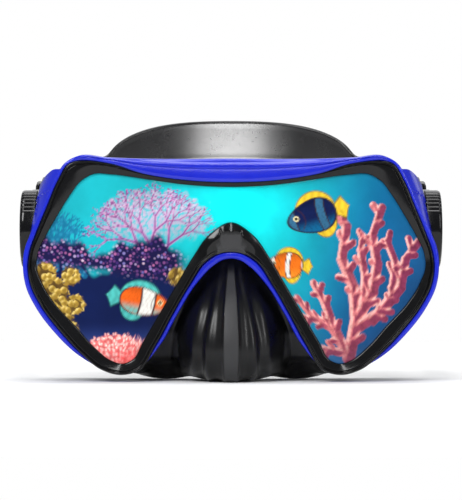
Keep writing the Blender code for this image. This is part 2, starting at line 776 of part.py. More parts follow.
def pawl_x():
    """The middle of the pawl's plate, under the button's stem."""
    return HOUSING_OUTER_X + BUTTON_STANDS - BUTTON_STEM - FIT_GAP - PAWL_THICKNESS / 2


def make_plate(group, helpers, parent):
    """The flat back plate that closes the housing and turns on the swivel pin."""
    low = LUG_INNER_X + LUG_THICKNESS + FIT_GAP
    closer = rod(
        "buckle_plate_right",
        PLATE_RADIUS,
        (low, 0, 0),
        PLATE_THICKNESS,
        (1, 0, 0),
        group,
        parent,
        "black",
        sides=40,
    )
    straight = block(
        "plate_end",
        (low - 1 * MM, ROLLER_Y - ROLLER_RADIUS - STRAP_THICKNESS - 3 * FIT_GAP, -BUCKLE_RADIUS),
        (low + 3 * MM, BUCKLE_REAR, BUCKLE_RADIUS),
        helpers,
        parent,
    )
    bore = rod(
        "plate_bore",
        PIN_RADIUS + PIN_CLEARANCE,
        (low - 1 * MM, 0, 0),
        4 * MM,
        (1, 0, 0),
        helpers,
        parent,
    )
    boolean(closer, straight, "DIFFERENCE")
    boolean(closer, bore, "DIFFERENCE")
    for sign, end in ((1, "upper"), (-1, "lower")):
        seat = rod(
            f"screw_seat_{end}",
            SCREW_HEAD_RADIUS + 0.2 * MM,
            (low - 1 * MM, 0, sign * SCREW_OFFSET),
            SCREW_HEAD + 1 * MM,
            (1, 0, 0),
            helpers,
            parent,
            sides=16,
        )
        passage = rod(
            f"screw_passage_{end}",
            SCREW_RADIUS + 0.2 * MM,
            (low - 1 * MM, 0, sign * SCREW_OFFSET),
            5 * MM,
            (1, 0, 0),
            helpers,
            parent,
            sides=16,
        )
        boolean(closer, seat, "DIFFERENCE")
        boolean(closer, passage, "DIFFERENCE")
    return closer


def turned(name, profile, place, group, parent, finish, sides=20):
    """A piece turned about an axis along +X: its profile is (x, radius) from one face to the other."""
    shape = bmesh.new()
    angles = [2 * math.pi * i / sides for i in range(sides)]
    rings = [
        [shape.verts.new((x, r * math.cos(a), r * math.sin(a))) for a in angles] for x, r in profile
    ]
    shape.faces.new(rings[0])
    shape.faces.new(rings[-1])
    for ring, following in zip(rings, rings[1:]):
        for i in range(sides):
            j = (i + 1) % sides
            shape.faces.new((ring[i], ring[j], following[j], following[i]))
    bmesh.ops.recalc_face_normals(shape, faces=shape.faces)
    mesh = bpy.data.meshes.new(name)
    shape.to_mesh(mesh)
    shape.free()
    return add_object(name, mesh, group, parent, finish, place)


def make_screw(name, sign, group, parent):
    low = LUG_INNER_X + LUG_THICKNESS + FIT_GAP + 0.1 * MM
    neck = low + SCREW_HEAD - 0.3 * MM
    tip = low + SCREW_LENGTH - 0.5 * MM
    profile = [(0, SCREW_HEAD_RADIUS), (neck - low, SCREW_HEAD_RADIUS)]
    profile += [(neck - low, SCREW_RADIUS), (tip - low, SCREW_RADIUS)]
    return turned(name, profile, (low, 0, sign * SCREW_OFFSET), group, parent, "steel", 16)


def make_pivot_pin(group, parent):
    """The rivet that joins the lug and the buckle's plate."""
    inner = LUG_INNER_X - FIT_GAP
    outer = LUG_INNER_X + LUG_THICKNESS + FIT_GAP + PLATE_THICKNESS + FIT_GAP
    profile = [
        (inner - PIN_HEAD, PIN_HEAD_RADIUS),
        (inner, PIN_HEAD_RADIUS),
        (inner, PIN_RADIUS),
        (outer, PIN_RADIUS),
        (outer, PIN_HEAD_RADIUS),
        (outer + PIN_HEAD, PIN_HEAD_RADIUS),
    ]
    return turned("pivot_pin_right", profile, (0, 0, 0), group, parent, "steel", 24)


def make_button(group, parent):
    """The release button: a round cap with a stem that presses the pawl."""
    under = HOUSING_OUTER_X - POCKET_ROOF + FIT_GAP
    top = HOUSING_OUTER_X + BUTTON_STANDS
    foot = top - BUTTON_STEM
    profile = [
        (foot, 1.6 * MM),
        (under - 0.2 * MM, 1.6 * MM),
        (under - 0.2 * MM, BUTTON_RADIUS),
        (top - 0.5 * MM, BUTTON_RADIUS),
        (top, BUTTON_RADIUS - 0.8 * MM),
    ]
    profile = [(x - foot, r) for x, r in profile]
    return turned("release_button_right", profile, (foot, 0, 0), group, parent, "black", 28)


def make_pawl(group, helpers, parent):
    """A rocking lever: the button presses its front end and its toothed rear end leaves the strap."""
    tooth = ROLLER_Y - ROLLER_RADIUS - STRAP_THICKNESS - 2.2 * FIT_GAP
    thick = PAWL_THICKNESS / 2
    half = POCKET_HALF - 0.5 * MM
    boss = PAWL_PIN_RADIUS + 0.1 * MM + 0.45 * MM
    pawl = block(
        "pawl_right",
        (-thick, PAWL_FRONT - PAWL_AXIS_Y, -half),
        (thick, tooth - PAWL_AXIS_Y, half),
        group,
        parent,
        "black",
    )
    pawl.location = (pawl_x(), PAWL_AXIS_Y, 0)
    barrel = rod("pawl_barrel", boss, (0, 0, -half), 2 * half, (0, 0, 1), helpers, parent, sides=16)
    barrel.location = pawl.location
    bore = rod(
        "pawl_bore",
        PAWL_PIN_RADIUS + 0.1 * MM,
        (0, 0, -2 * half),
        4 * half,
        (0, 0, 1),
        helpers,
        parent,
        sides=16,
    )
    bore.location = pawl.location
    boolean(pawl, barrel, "UNION")
    boolean(pawl, bore, "DIFFERENCE")
    return pawl


def make_pawl_pin(group, parent):
    half = POCKET_HALF + 2.6 * MM
    start = (pawl_x(), PAWL_AXIS_Y, -half)
    return rod(
        "pawl_pin_right", PAWL_PIN_RADIUS, start, 2 * half, (0, 0, 1), group, parent, "steel", 16
    )


def make_spring(group, parent):
    """The coil that returns the pawl and the button, standing on the pivot pin's head."""
    low = LUG_INNER_X + LUG_THICKNESS + 3 * FIT_GAP + PLATE_THICKNESS + PIN_HEAD + SPRING_WIRE / 2
    high = pawl_x() - PAWL_THICKNESS / 2 - FIT_GAP - SPRING_WIRE / 2
    curve = bpy.data.curves.new("return_spring_right", "CURVE")
    curve.dimensions = "3D"
    curve.bevel_depth = SPRING_WIRE / 2
    curve.bevel_resolution = 1
    curve.use_fill_caps = True
    count = int(SPRING_TURNS * 12) + 1
    spline = curve.splines.new("POLY")
    spline.points.add(count - 1)
    for i, point in enumerate(spline.points):
        share = i / (count - 1)
        angle = 2 * math.pi * SPRING_TURNS * share
        point.co = (
            low + (high - low) * share,
            SPRING_RADIUS * math.cos(angle),
            SPRING_RADIUS * math.sin(angle),
            1,
        )
    drawn = bpy.data.objects.new("spring_wire", curve)
    bpy.context.scene.collection.objects.link(drawn)
    mesh = evaluated_mesh(drawn)
    bpy.data.objects.remove(drawn)
    weld(mesh)
    return add_object("return_spring_right", mesh, group, parent, "steel")


def make_roller(group, parent):
    half = STRAP_HALF_WIDTH + STRAP_SIDE_GAP - FIT_GAP
    roller = rod(
        "strap_roller_right",
        ROLLER_RADIUS,
        (0, 0, -half),
        2 * half,
        (0, 0, 1),
        group,
        parent,
        "steel",
        hole=ROLLER_RADIUS - ROLLER_WALL,
    )
    roller.location = (ROLLER_X, ROLLER_Y, 0)
    return roller


def make_axle(group, parent):
    half = STRAP_HALF_WIDTH + STRAP_SIDE_GAP + 3.0 * MM
    start = (ROLLER_X, ROLLER_Y, -half)
    radius = ROLLER_RADIUS - ROLLER_WALL - 0.1 * MM
    return rod("roller_axle_right", radius, start, 2 * half, (0, 0, 1), group, parent, "steel", 20)


def make_buckles(group, helpers, parent):
    pieces = [
        make_housing(group, helpers, parent),
        make_plate(group, helpers, parent),
        make_screw("plate_screw_upper_right", 1, group, parent),
        make_screw("plate_screw_lower_right", -1, group, parent),
        make_pivot_pin(group, parent),
        make_button(group, parent),
        make_pawl(group, helpers, parent),
        make_pawl_pin(group, parent),
        make_spring(group, parent),
        make_roller(group, parent),
        make_axle(group, parent),
        make_keeper(group, parent),
    ]
    for piece in pieces:
        mirrored(piece, piece.name.replace("right", "left"))


def main():
    clear_scene()
    group = new_collection("snorkel mask")
    helpers = new_collection("cutters and helpers")
    datum = bpy.data.objects.new("glass_front", None)
    datum.location = (0, LENS_FRONT_Y, SKIRT_BULGE)
    swivel = bpy.data.objects.new("strap_swivel", None)
    swivel.parent = datum
    swivel.location = (0, PIVOT_DEPTH, PIVOT_HEIGHT)
    swivel.rotation_euler = (STRAP_TILT, 0, 0)
    for empty in (datum, swivel):
        group.objects.link(empty)
    edge, bezel_rim, frame_rim = outlines()
    make_lens(edge, group, datum)
    make_bezel(edge, bezel_rim, group, helpers, datum)
    make_frame(edge, bezel_rim, frame_rim, group, helpers, datum)
    make_skirt(edge, group, datum)
    make_strap(group, helpers, swivel)
    make_buckles(group, helpers, swivel)


main()
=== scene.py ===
# %% [markdown]
# # A snorkel mask around its mechanical model
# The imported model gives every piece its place: the glass, the ring that holds it, the blue frame, the
# silicone skirt, the strap and two swivelling buckles. This lesson draws smooth, detailed surfaces in
# the same places and gives each one a finish made of nodes. The model's boxes and joints set where the
# drawn shapes stand. The outlines themselves are tables of millimetres in this script, so they would
# have to be changed with the model's shape.

# %% Load the frame
import json
import math

import bmesh
import bpy
import numpy as np
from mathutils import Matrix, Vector


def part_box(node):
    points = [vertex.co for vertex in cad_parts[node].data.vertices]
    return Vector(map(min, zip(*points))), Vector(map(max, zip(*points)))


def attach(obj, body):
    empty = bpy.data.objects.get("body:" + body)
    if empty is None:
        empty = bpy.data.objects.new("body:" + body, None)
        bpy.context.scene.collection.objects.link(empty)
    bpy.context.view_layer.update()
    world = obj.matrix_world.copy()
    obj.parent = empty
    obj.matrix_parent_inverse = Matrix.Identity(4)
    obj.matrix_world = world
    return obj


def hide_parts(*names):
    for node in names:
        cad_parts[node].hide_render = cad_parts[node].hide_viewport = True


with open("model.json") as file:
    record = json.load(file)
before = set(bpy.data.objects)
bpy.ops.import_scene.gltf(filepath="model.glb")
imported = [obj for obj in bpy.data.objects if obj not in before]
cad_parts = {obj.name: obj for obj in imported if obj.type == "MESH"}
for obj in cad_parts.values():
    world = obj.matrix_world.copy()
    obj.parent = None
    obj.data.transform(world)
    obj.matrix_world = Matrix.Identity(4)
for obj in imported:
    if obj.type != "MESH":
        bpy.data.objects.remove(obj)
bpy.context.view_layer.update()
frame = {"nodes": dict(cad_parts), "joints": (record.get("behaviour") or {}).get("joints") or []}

MM = 0.001
lens_low, lens_high = (np.array(corner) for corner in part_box("lens"))
joints = {joint["name"]: joint for joint in frame["joints"]}
swivel = np.array(joints["strap_swing"]["pos_m"])
strap_axis = np.array(joints["keeper_slide_right"]["axis"])
GLASS_Y = lens_low[1]  # the glass's front face
print("glass", lens_low / MM, lens_high / MM, "swivel", swivel / MM)

# %% [markdown]
# Every surface here is a grid of points worked out with numpy. One helper numbers the faces of a grid,
# and another puts points and faces into a mesh. Two grids that meet are merged where their points
# coincide. Subdivision surfaces would round these shapes too, but they pull a shape away from its own
# control points. A cubic curve goes through every point it is given, so each number below can be read
# as a real place.


# %% Grids, meshes and smooth curves
def grid_faces(rows, columns, wrap_rows=False, wrap_columns=False, start=0):
    """The four-sided faces of a grid of rows x columns points, numbered row by row from start."""
    r = np.arange(rows if wrap_rows else rows - 1)[:, None]
    c = np.arange(columns if wrap_columns else columns - 1)[None, :]
    below, beside = (r + 1) % rows, (c + 1) % columns
    corners = (r * columns + c, r * columns + beside, below * columns + beside, below * columns + c)
    return np.stack([np.broadcast_to(k, (r.size, c.size)).ravel() for k in corners], 1) + start


def add_piece(name, grids, finish, body, replaces=(), sharp=35, close_ends=True):
    """One object made of grids, each (points, wrap_rows, wrap_columns). Ends that stay open are capped,
    doubles are merged and the faces are turned outwards."""
    points, faces, count = [], [], 0
    for grid, wrap_rows, wrap_columns in grids:
        rows, columns = grid.shape[:2]
        points.append(grid.reshape(-1, 3))
        faces.append(grid_faces(rows, columns, wrap_rows, wrap_columns, count))
        count += rows * columns
    mesh = bpy.data.meshes.new(name)
    mesh.from_pydata(np.vstack(points).tolist(), [], np.vstack(faces).tolist())
    shape = bmesh.new()
    shape.from_mesh(mesh)
    bmesh.ops.remove_doubles(shape, verts=shape.verts, dist=2e-6)
    bmesh.ops.dissolve_degenerate(shape, edges=shape.edges, dist=1e-6)
    if close_ends:
        bmesh.ops.holes_fill(shape, edges=shape.edges, sides=0)
    bmesh.ops.recalc_face_normals(shape, faces=shape.faces)
    shape.to_mesh(mesh)
    shape.free()
    mesh.polygons.foreach_set("use_smooth", np.ones(len(mesh.polygons), bool))
    mesh.set_sharp_from_angle(angle=math.radians(sharp))
    piece = bpy.data.objects.new(name, mesh)
    bpy.context.scene.collection.objects.link(piece)
    mesh.materials.append(finish)
    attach(piece, body)
    if replaces:
        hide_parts(*replaces)
    print(name, len(mesh.vertices), "points")
    return piece


def smooth(points, steps, closed=True):
    """A cubic curve through points, row after row, with steps points to a span. Its direction at a
    point weighs the two chords that meet there by each other's length."""
    p = np.asarray(points, float)
    ahead = np.roll(p, -1, 0) - p
    chord = np.linalg.norm(ahead, axis=1, keepdims=True)
    behind, before = np.roll(ahead, 1, 0), np.roll(chord, 1, 0)
    slope = (behind * chord / before + ahead * before / chord) / (chord + before)
    if not closed:
        slope[0], slope[-1] = ahead[0] / chord[0], behind[-1] / before[-1]
    t = (np.arange(steps) / steps)[None, :, None]
    a, b = p[:, None], np.roll(p, -1, 0)[:, None]
    u, v = (slope * chord)[:, None], (np.roll(slope, -1, 0) * chord)[:, None]
    curve = a * (2 * t**3 - 3 * t**2 + 1) + u * (t**3 - 2 * t**2 + t)
    curve = curve + b * (3 * t**2 - 2 * t**3) + v * (t**3 - t**2)
    if closed:
        return curve.reshape(-1, p.shape[1])
    return np.vstack([curve[:-1].reshape(-1, p.shape[1]), p[-1:]])


def whole(half):
    """A closed outline from its right half, whose first and last points lie on x = 0."""
    half = np.asarray(half, float)
    return np.vstack([half, half[-2:0:-1] * np.array([-1] + [1] * (half.shape[1] - 1))])


def outward(outline):
    """Unit vectors square to a closed outline, pointing out of it."""
    along = np.roll(outline, -1, 0) - np.roll(outline, 1, 0)
    along /= np.linalg.norm(along, axis=1, keepdims=True)
    return np.stack([-along[:, 1], along[:, 0]], 1)


def ease(x, low, high):
    """0 below low, 1 above high and a smooth S between."""
    t = np.clip((x - low) / (high - low), 0, 1)
    return t * t * (3 - 2 * t)


def fillet(loops, radius, steps=4):
    """Rounds every corner of closed profiles. loops is (samples, corners, 3) and radius one size per
    corner; a corner becomes an arc-like curve between points that far before and behind it."""
    radius = np.broadcast_to(radius, loops.shape[1])[None, :, None]
    back, front = np.roll(loops, 1, 1) - loops, np.roll(loops, -1, 1) - loops
    long_back = np.linalg.norm(back, axis=2, keepdims=True) + 1e-9
    long_front = np.linalg.norm(front, axis=2, keepdims=True) + 1e-9
    start = loops + back * np.minimum(radius / long_back, 0.45)
    end = loops + front * np.minimum(radius / long_front, 0.45)
    t = np.linspace(0, 1, steps)[None, None, :, None]
    curve = start[:, :, None] * (1 - t) ** 2 + loops[:, :, None] * 2 * t * (1 - t) + end[:, :, None] * t**2
    return curve.reshape(len(loops), -1, 3)


# %% [markdown]
# The mask's front is ruled by three outlines in the plane of the window: the edge of the glass that
# shows, the outer edge of the black ring and the outer edge of the blue frame. Half of each is a row of
# points, given as a share of the glass's size and then as steps in millimetres from one outline to the
# next. Drawing three free outlines would work too, but steps from one to the next keep the widths of
# ring and rim under control, and those widths are what the eye notices.

# %% The three outlines
GLASS_LIP = 1.2 * MM  # the glass runs this far under the ring
HOLE_STEP = 2.6 * MM  # from the visible glass to the frame's own opening
SPAN = 20  # points on each span of an outline
OUTLINE = [
    ((0.000, 0.933), (0.0, 2.8), (0.0, 9.3)),
    ((0.243, 0.946), (1.0, 2.8), (0.0, 8.1)),
    ((0.437, 0.974), (0.8, 3.0), (1.0, 5.8)),
    ((0.607, 0.998), (1.0, 5.0), (1.0, 2.4)),
    ((0.710, 1.000), (2.5, 5.9), (3.5, 2.1)),
    ((0.772, 0.964), (5.0, 7.3), (1.7, 0.6)),
    ((0.828, 0.890), (5.0, 6.2), (1.6, 0.3)),
    ((0.888, 0.791), (4.4, 3.9), (1.6, 0.3)),
    ((0.951, 0.678), (4.2, 0.6), (2.0, 1.2)),
    ((0.992, 0.588), (3.5, 0.0), (2.4, 1.0)),
    ((1.000, 0.511), (3.6, 0.1), (2.3, 0.0)),
    ((0.968, 0.418), (5.0, -0.4), (2.2, -0.8)),
    ((0.903, 0.313), (6.2, -0.4), (2.1, -1.2)),
    ((0.801, 0.200), (6.6, -2.0), (2.0, -1.2)),
    ((0.699, 0.083), (6.6, -1.7), (1.2, -0.9)),
    ((0.619, 0.018), (4.0, -4.0), (-0.4, 0.4)),
    ((0.558, 0.000), (0.5, -4.8), (-0.1, 0.4)),
    ((0.507, 0.021), (-2.2, -4.9), (0.6, 0.8)),
    ((0.456, 0.110), (-6.0, -0.4), (-2.2, 0.4)),
    ((0.370, 0.261), (-5.7, 0.0), (-2.0, -0.2)),
    ((0.280, 0.418), (-5.6, 0.0), (-2.6, 0.0)),
    ((0.194, 0.567), (-5.4, -2.2), (-3.0, -2.0)),
    ((0.117, 0.677), (-5.0, -7.6), (-1.0, -2.9)),
    ((0.000, 0.747), (0.0, -12.6), (0.0, -2.9)),
]
HALF_WIDTH = lens_high[0] - GLASS_LIP
HEIGHT = lens_high[2] - lens_low[2] - 2 * GLASS_LIP
BASE = lens_low[2] + GLASS_LIP
glass_half = np.array([s[0] for s in OUTLINE]) * (HALF_WIDTH, HEIGHT) + (0, BASE)
ring_half = glass_half + np.array([s[1] for s in OUTLINE]) * MM
frame_half = ring_half + np.array([s[2] for s in OUTLINE]) * MM
glass_edge, ring_edge, frame_edge = (smooth(whole(h), SPAN) for h in (glass_half, ring_half, frame_half))
station = np.arange(len(glass_edge)) / SPAN  # which row of OUTLINE a point is at
station = np.minimum(station, 2 * (len(OUTLINE) - 1) - station)
print("outlines", len(glass_edge), "points each, glass", HALF_WIDTH * 2 / MM, "mm wide")


def in_plane(flat, depth):
    """Points (x, z) of the window's plane, moved back by a depth behind the glass's front."""
    depth = np.broadcast_to(depth, flat.shape[:-1])
    return np.stack([flat[..., 0], GLASS_Y + depth, flat[..., 1]], -1)


# %% [markdown]
# ## Finishes
# Black and blue parts are injection-moulded and polished, the skirt and strap are moulded silicone, and
# the pins are stainless steel. The small unevenness that they share, a faint haze of handling marks and
# a soft ripple, is one node group that every finish reuses with its own numbers. A picture of scratches
# would repeat and would need an unwrapped surface. Noise in object coordinates has the same size on
# every piece and no seam.


# %% A shared group for moulded surfaces
def new_group(name, inputs, outputs):
    """A node group with sockets from lists of (label, kind, value) and (label, kind)."""
    group = bpy.data.node_groups.new(name, "ShaderNodeTree")
    for label, kind, value in inputs:
        socket = group.interface.new_socket(label, in_out="INPUT", socket_type=f"NodeSocket{kind}")
        socket.default_value = value
    for label, kind in outputs:
        group.interface.new_socket(label, in_out="OUTPUT", socket_type=f"NodeSocket{kind}")
    source = group.nodes.new("NodeGroupInput")
    target = group.nodes.new("NodeGroupOutput")
    return group, source, target


def add_node(tree, kind, settings=None, **inputs):
    """A node with its settings; an input given as a socket is linked and any other is set."""
    node = tree.nodes.new(kind)
    for key, value in (settings or {}).items():
        setattr(node, key, value)
    for key, value in inputs.items():
        label = key.replace("_", " ")
        socket = node.inputs[int(label)] if label.isdigit() else node.inputs[label]
        if isinstance(value, bpy.types.NodeSocket):
            tree.links.new(value, socket)
        else:
            socket.default_value = value
    return node


def maths(tree, operation, a, b=0.0, clamp=False):
    """The output of one arithmetic node."""
    settings = {"operation": operation, "use_clamp": clamp}
    return add_node(tree, "ShaderNodeMath", settings, **{"0": a, "1": b}).outputs[0]


def blend_colour(tree, share, a, b, mode="MIX"):
    """The output of one colour mixing node: a where share is 0 and b where it is 1."""
    settings = {"data_type": "RGBA", "blend_type": mode}
    return add_node(tree, "ShaderNodeMix", settings, **{"0": share, "6": a, "7": b}).outputs[2]


def ramp(tree, value, stops):
    """A value turned into a colour: stops are (position, grey or colour)."""
    node = tree.nodes.new("ShaderNodeValToRGB")
    tree.links.new(value, node.inputs[0])
    marks = node.color_ramp.elements
    while len(marks) < len(stops):
        marks.new(0.5)
    for mark, (position, colour) in zip(marks, stops):
        mark.position = position
        mark.color = (colour, colour, colour, 1) if isinstance(colour, (int, float)) else (*colour, 1)
    return node.outputs[0]


moulded, enter, leave = new_group(
    "moulded_surface",
    [
        ("Haze", "Float", 0.05),
        ("Roughness", "Float", 0.2),
        ("Ripple", "Float", 0.0),
        ("Grain", "Float", 0.0),
    ],
    [("Roughness", "Float"), ("Height", "Float"), ("Cloud", "Float")],
)
place = add_node(moulded, "ShaderNodeTexCoord").outputs["Object"]
cloud = add_node(moulded, "ShaderNodeTexNoise", Vector=place, Scale=55.0, Detail=4.0, Roughness=0.6)
wipes = add_node(
    moulded, "ShaderNodeTexNoise", Vector=place, Scale=420.0, Detail=2.0, Roughness=0.7, Distortion=1.5
)
ripple = add_node(moulded, "ShaderNodeTexNoise", Vector=place, Scale=160.0, Detail=1.0)
grain = add_node(moulded, "ShaderNodeTexNoise", Vector=place, Scale=4200.0, Detail=1.0)
marks = maths(moulded, "MULTIPLY", cloud.outputs[0], wipes.outputs[0])
marks = maths(moulded, "SUBTRACT", marks, 0.25)
marks = maths(moulded, "MULTIPLY", marks, enter.outputs["Haze"])
total = maths(moulded, "ADD", enter.outputs["Roughness"], marks, clamp=True)
moulded.links.new(total, leave.inputs["Roughness"])
height = maths(moulded, "MULTIPLY", ripple.outputs[0], enter.outputs["Ripple"])
fine = maths(moulded, "MULTIPLY", grain.outputs[0], enter.outputs["Grain"])
moulded.links.new(maths(moulded, "ADD", height, fine), leave.inputs["Height"])
moulded.links.new(cloud.outputs[0], leave.inputs["Cloud"])


# %% [markdown]
# A finish is one material. Two nearly equal colours are mixed by the group's slow cloud, because no
# moulded part is quite one colour. Some faces of the ring and the skirt are satin, where the mould was
# etched: they are duller, and their colour is a lighter grey that paints in the highlight they catch.
# A share stored at each point of the mesh says where, so one material serves the whole piece.


# %% The finishes
def finish(name, colour, light, roughness, haze, ripple, grain, bump=0.0002, satin_highlight=None, **constants):
    """A moulded finish: two near colours mixed by a slow cloud, uneven gloss and a fine relief. Where a
    piece's stored satin share is 1 it is duller and takes the satin colour, a lighter grey that is a
    painted highlight. constants are set straight on the shader."""
    made = bpy.data.materials.new(name)
    made.use_nodes = True
    tree = made.node_tree
    shader = tree.nodes["Principled BSDF"]
    for key, value in constants.items():
        shader.inputs[key.replace("_", " ")].default_value = value
    uneven = add_node(tree, "ShaderNodeGroup", {"node_tree": moulded}, Haze=haze, Roughness=roughness)
    uneven.inputs["Ripple"].default_value = ripple
    uneven.inputs["Grain"].default_value = grain
    cloudy = ramp(tree, uneven.outputs["Cloud"], [(0.35, 0.0), (0.7, 1.0)])
    tint = blend_colour(tree, cloudy, (*colour, 1), (*light, 1))
    rough = uneven.outputs["Roughness"]
    if satin_highlight:
        # where the stored share is 1 the colour turns to a lighter grey, a painted highlight, and the
        # roughness rises
        highlight_share = add_node(tree, "ShaderNodeAttribute", {"attribute_name": "satin_highlight"}).outputs["Fac"]
        tint = blend_colour(tree, highlight_share, tint, (*satin_highlight, 1))
        rough = maths(tree, "ADD", rough, maths(tree, "MULTIPLY", highlight_share, 0.22), clamp=True)
    tree.links.new(tint, shader.inputs["Base Color"])
    tree.links.new(rough, shader.inputs["Roughness"])
    relief = add_node(tree, "ShaderNodeBump", Height=uneven.outputs["Height"], Distance=bump, Strength=1.0)
    tree.links.new(relief.outputs[0], shader.inputs["Normal"])
    return made


# a finish's satin colour is a lighter grey painted in as a highlight where a piece's stored share says so
FINISHES = {  # name: (colour, light, roughness, haze, ripple, grain), satin colour, constants
    "black_plastic": (
        ((0.0022, 0.0022, 0.0026), (0.0045, 0.0045, 0.005), 0.13, 0.16, 0.12, 0.01),
        (0.035, 0.035, 0.037),
        {"Specular_IOR_Level": 0.30},
    ),
    "blue_plastic": (
        ((0.005, 0.012, 0.44), (0.009, 0.021, 0.54), 0.2, 0.16, 0.05, 0.01),
        None,
        {"Specular_IOR_Level": 0.4},
    ),
    "black_silicone": (
        ((0.0028, 0.0028, 0.0032), (0.006, 0.006, 0.0066), 0.29, 0.14, 0.10, 0.015),
        (0.040, 0.040, 0.042),
        {"Specular_IOR_Level": 0.28},
    ),
    "strap_silicone": (
        ((0.003, 0.003, 0.0034), (0.006, 0.006, 0.0066), 0.26, 0.14, 0.08, 0.02),
        None,
        {"Specular_IOR_Level": 0.36},
    ),
    "stainless_steel": (
        ((0.50, 0.50, 0.52), (0.62, 0.62, 0.63), 0.28, 0.2, 0.05, 0.05),
        None,
        {"Metallic": 1.0},
    ),
}
black_plastic, blue_plastic, silicone, strap_silicone, steel = (
    finish(name, *numbers, satin_highlight=satin_highlight, **constants)
    for name, (numbers, satin_highlight, constants) in FINISHES.items()
)
print("finishes", [m.name for m in bpy.data.materials])

# %% [markdown]
# ## The glass
# One flat pane of tempered glass. Its shape is a region between two curves over x: the brow line above,
# and below it the line that runs down the nose notch and up the cheek. A grid between the two curves
# fills it. The pane could be cut from a plate by its outline, but then its faces would be a few huge
# polygons. The grid gives it points everywhere, and the coating needs those points to hold its colours.


# %% The glass
def pane_points(edge, columns, rows):
    """A grid over the pane: column x runs from side to side, closer at the ends, and a column's points
    share out the height between the lower and the upper edge."""
    right = edge[: len(edge) // 2 + 1]
    widest = np.argmax(right[:, 0])
    upper, lower = right[: widest + 1], right[widest:][::-1]
    angle = np.linspace(-0.5 * np.pi, 0.5 * np.pi, columns)
    mix = 0.35
    share = (1 - mix) * angle / (0.5 * np.pi) + mix * np.sin(angle)
    x = share * right[widest, 0]
    top = np.interp(abs(x), np.maximum.accumulate(upper[:, 0]), upper[:, 1])
    low = np.interp(abs(x), np.maximum.accumulate(lower[:, 0]), lower[:, 1])
    v = np.linspace(0, 1, rows)[None, :]
    z = low[:, None] * (1 - v) + top[:, None] * v
    return np.stack([np.broadcast_to(x[:, None], z.shape), z], -1)


GLASS_BEVEL, BEVEL_SHOWS = 0.5 * MM, 0.2 * MM
GLASS_THICKNESS = lens_high[1] - lens_low[1]
pane_edge = glass_edge + outward(glass_edge) * GLASS_LIP
flat_edge = glass_edge - outward(glass_edge) * BEVEL_SHOWS
PANE_COLUMNS, PANE_ROWS = 340, 130  # about half a millimetre between points
front = pane_points(flat_edge, PANE_COLUMNS, PANE_ROWS)
back = pane_points(pane_edge, PANE_COLUMNS, PANE_ROWS)
border = [
    np.vstack([face[:, 0], face[-1, 1:], face[:-1, -1][::-1], face[0, 1:-1][::-1]])
    for face in (front, back)
]
sides = [in_plane(border[0], 0.0), in_plane(border[1], GLASS_BEVEL), in_plane(border[1], GLASS_THICKNESS)]
glass_grids = [
    (in_plane(front, 0.0), False, False),
    (in_plane(back, GLASS_THICKNESS), False, False),
    (np.stack(sides), False, True),
]
print("pane", front.shape[:2], "points a side,", round(GLASS_THICKNESS / MM, 2), "mm thick")

# %% [markdown]
# The glass carries a mirror coating with a reef scene: water that turns from turquoise to deep blue, a
# dark reef with a crust of small growths, a sea fan, a finger coral, an anemone and three small fish.
# Branching growths come from a rule that splits a stem again and again; a point's share of a growth is
# read from its distance to the nearest stem. Colours are worked out for the points of the pane and
# stored in a colour attribute.


# %% Reef growths
def stem_distance(points, stems):
    """How far points (n, 2) lie inside the nearest stem, as a share of its radius: 1 on its middle line
    and 0 at its edge. A stem (x, z, x, z, radius, radius) is a line that tapers."""
    start, end = stems[None, :, 0:2], stems[None, :, 2:4]
    along = end - start
    t = ((points[:, None] - start) * along).sum(2) / np.maximum((along**2).sum(2), 1e-9)
    t = np.clip(t, 0, 1)
    far = np.linalg.norm(points[:, None] - start - along * t[..., None], axis=2)
    radius = stems[None, :, 4] * (1 - t) + stems[None, :, 5] * t
    return (1 - far / radius).max(1)


def grow(root, angle, length, radius, levels, spread, shrink=0.78, thin=0.72, seed=3):
    """Stems of a plant: each level splits every tip in two, turned by about spread to each side,
    shorter and thinner than before."""
    chance = np.random.default_rng(seed)
    tips, angles = np.array([root], float), np.array([angle], float)
    stems = []
    for level in range(levels):
        reach = length * shrink**level * chance.uniform(0.8, 1.25, len(tips))
        ends = tips + np.stack([np.cos(angles), np.sin(angles)], 1) * reach[:, None]
        wide = np.full((len(tips), 1), radius * thin**level)
        stems.append(np.hstack([tips, ends, wide, wide * thin]))
        tips = np.repeat(ends, 2, 0)
        turn = np.tile([spread, -spread], len(angles)) * chance.uniform(0.5, 1.3, len(tips))
        angles = np.repeat(angles, 2) + turn
    return np.vstack(stems)


def fingers(path, radius, seed):
    """A thick coral stem along a path, with short round knobs that stand off it on both sides."""
    chance = np.random.default_rng(seed)
    path = np.array(path, float)
    main = np.hstack([path[:-1], path[1:], np.full((len(path) - 1, 2), radius)])
    main[:, 4:] *= np.linspace(1.0, 0.7, len(main))[:, None]
    along = path[1:] - path[:-1]
    share = chance.uniform(0.2, 0.95, (len(along), 2))
    root = (path[:-1, None] + along[:, None] * share[..., None]).reshape(-1, 2)
    lean = np.array([0.8, -0.8]) * chance.uniform(0.7, 1.3, share.shape)
    bend = np.arctan2(along[:, 1], along[:, 0])[:, None] + lean
    reach = chance.uniform(2.5, 5.5, share.shape)
    tip = root + np.stack([np.cos(bend), np.sin(bend)], -1).reshape(-1, 2) * reach.reshape(-1, 1)
    ends = np.tile([radius * 0.72, radius * 0.6], (len(root), 1))
    knobs = np.hstack([root, tip, ends])
    return np.vstack([main, knobs])


def buds(points, size, seed):
    """How near points (n, 2) lie to the nearest small round bud: 1 at its middle and 0 at its rim. One
    bud stands at a random place in every square cell of that size, and nine cells are searched for
    each point."""
    jitter = np.random.default_rng(seed).uniform(0.1, 0.9, (64, 64, 2))
    steps = np.stack(np.meshgrid([-1, 0, 1], [-1, 0, 1]), -1).reshape(-1, 1, 2)
    cell = np.floor(points / size).astype(int) + steps
    centre = cell + jitter[cell[..., 0] % 64, cell[..., 1] % 64]
    return 1 - np.linalg.norm(points / size - centre, axis=2).min(0) / 0.62


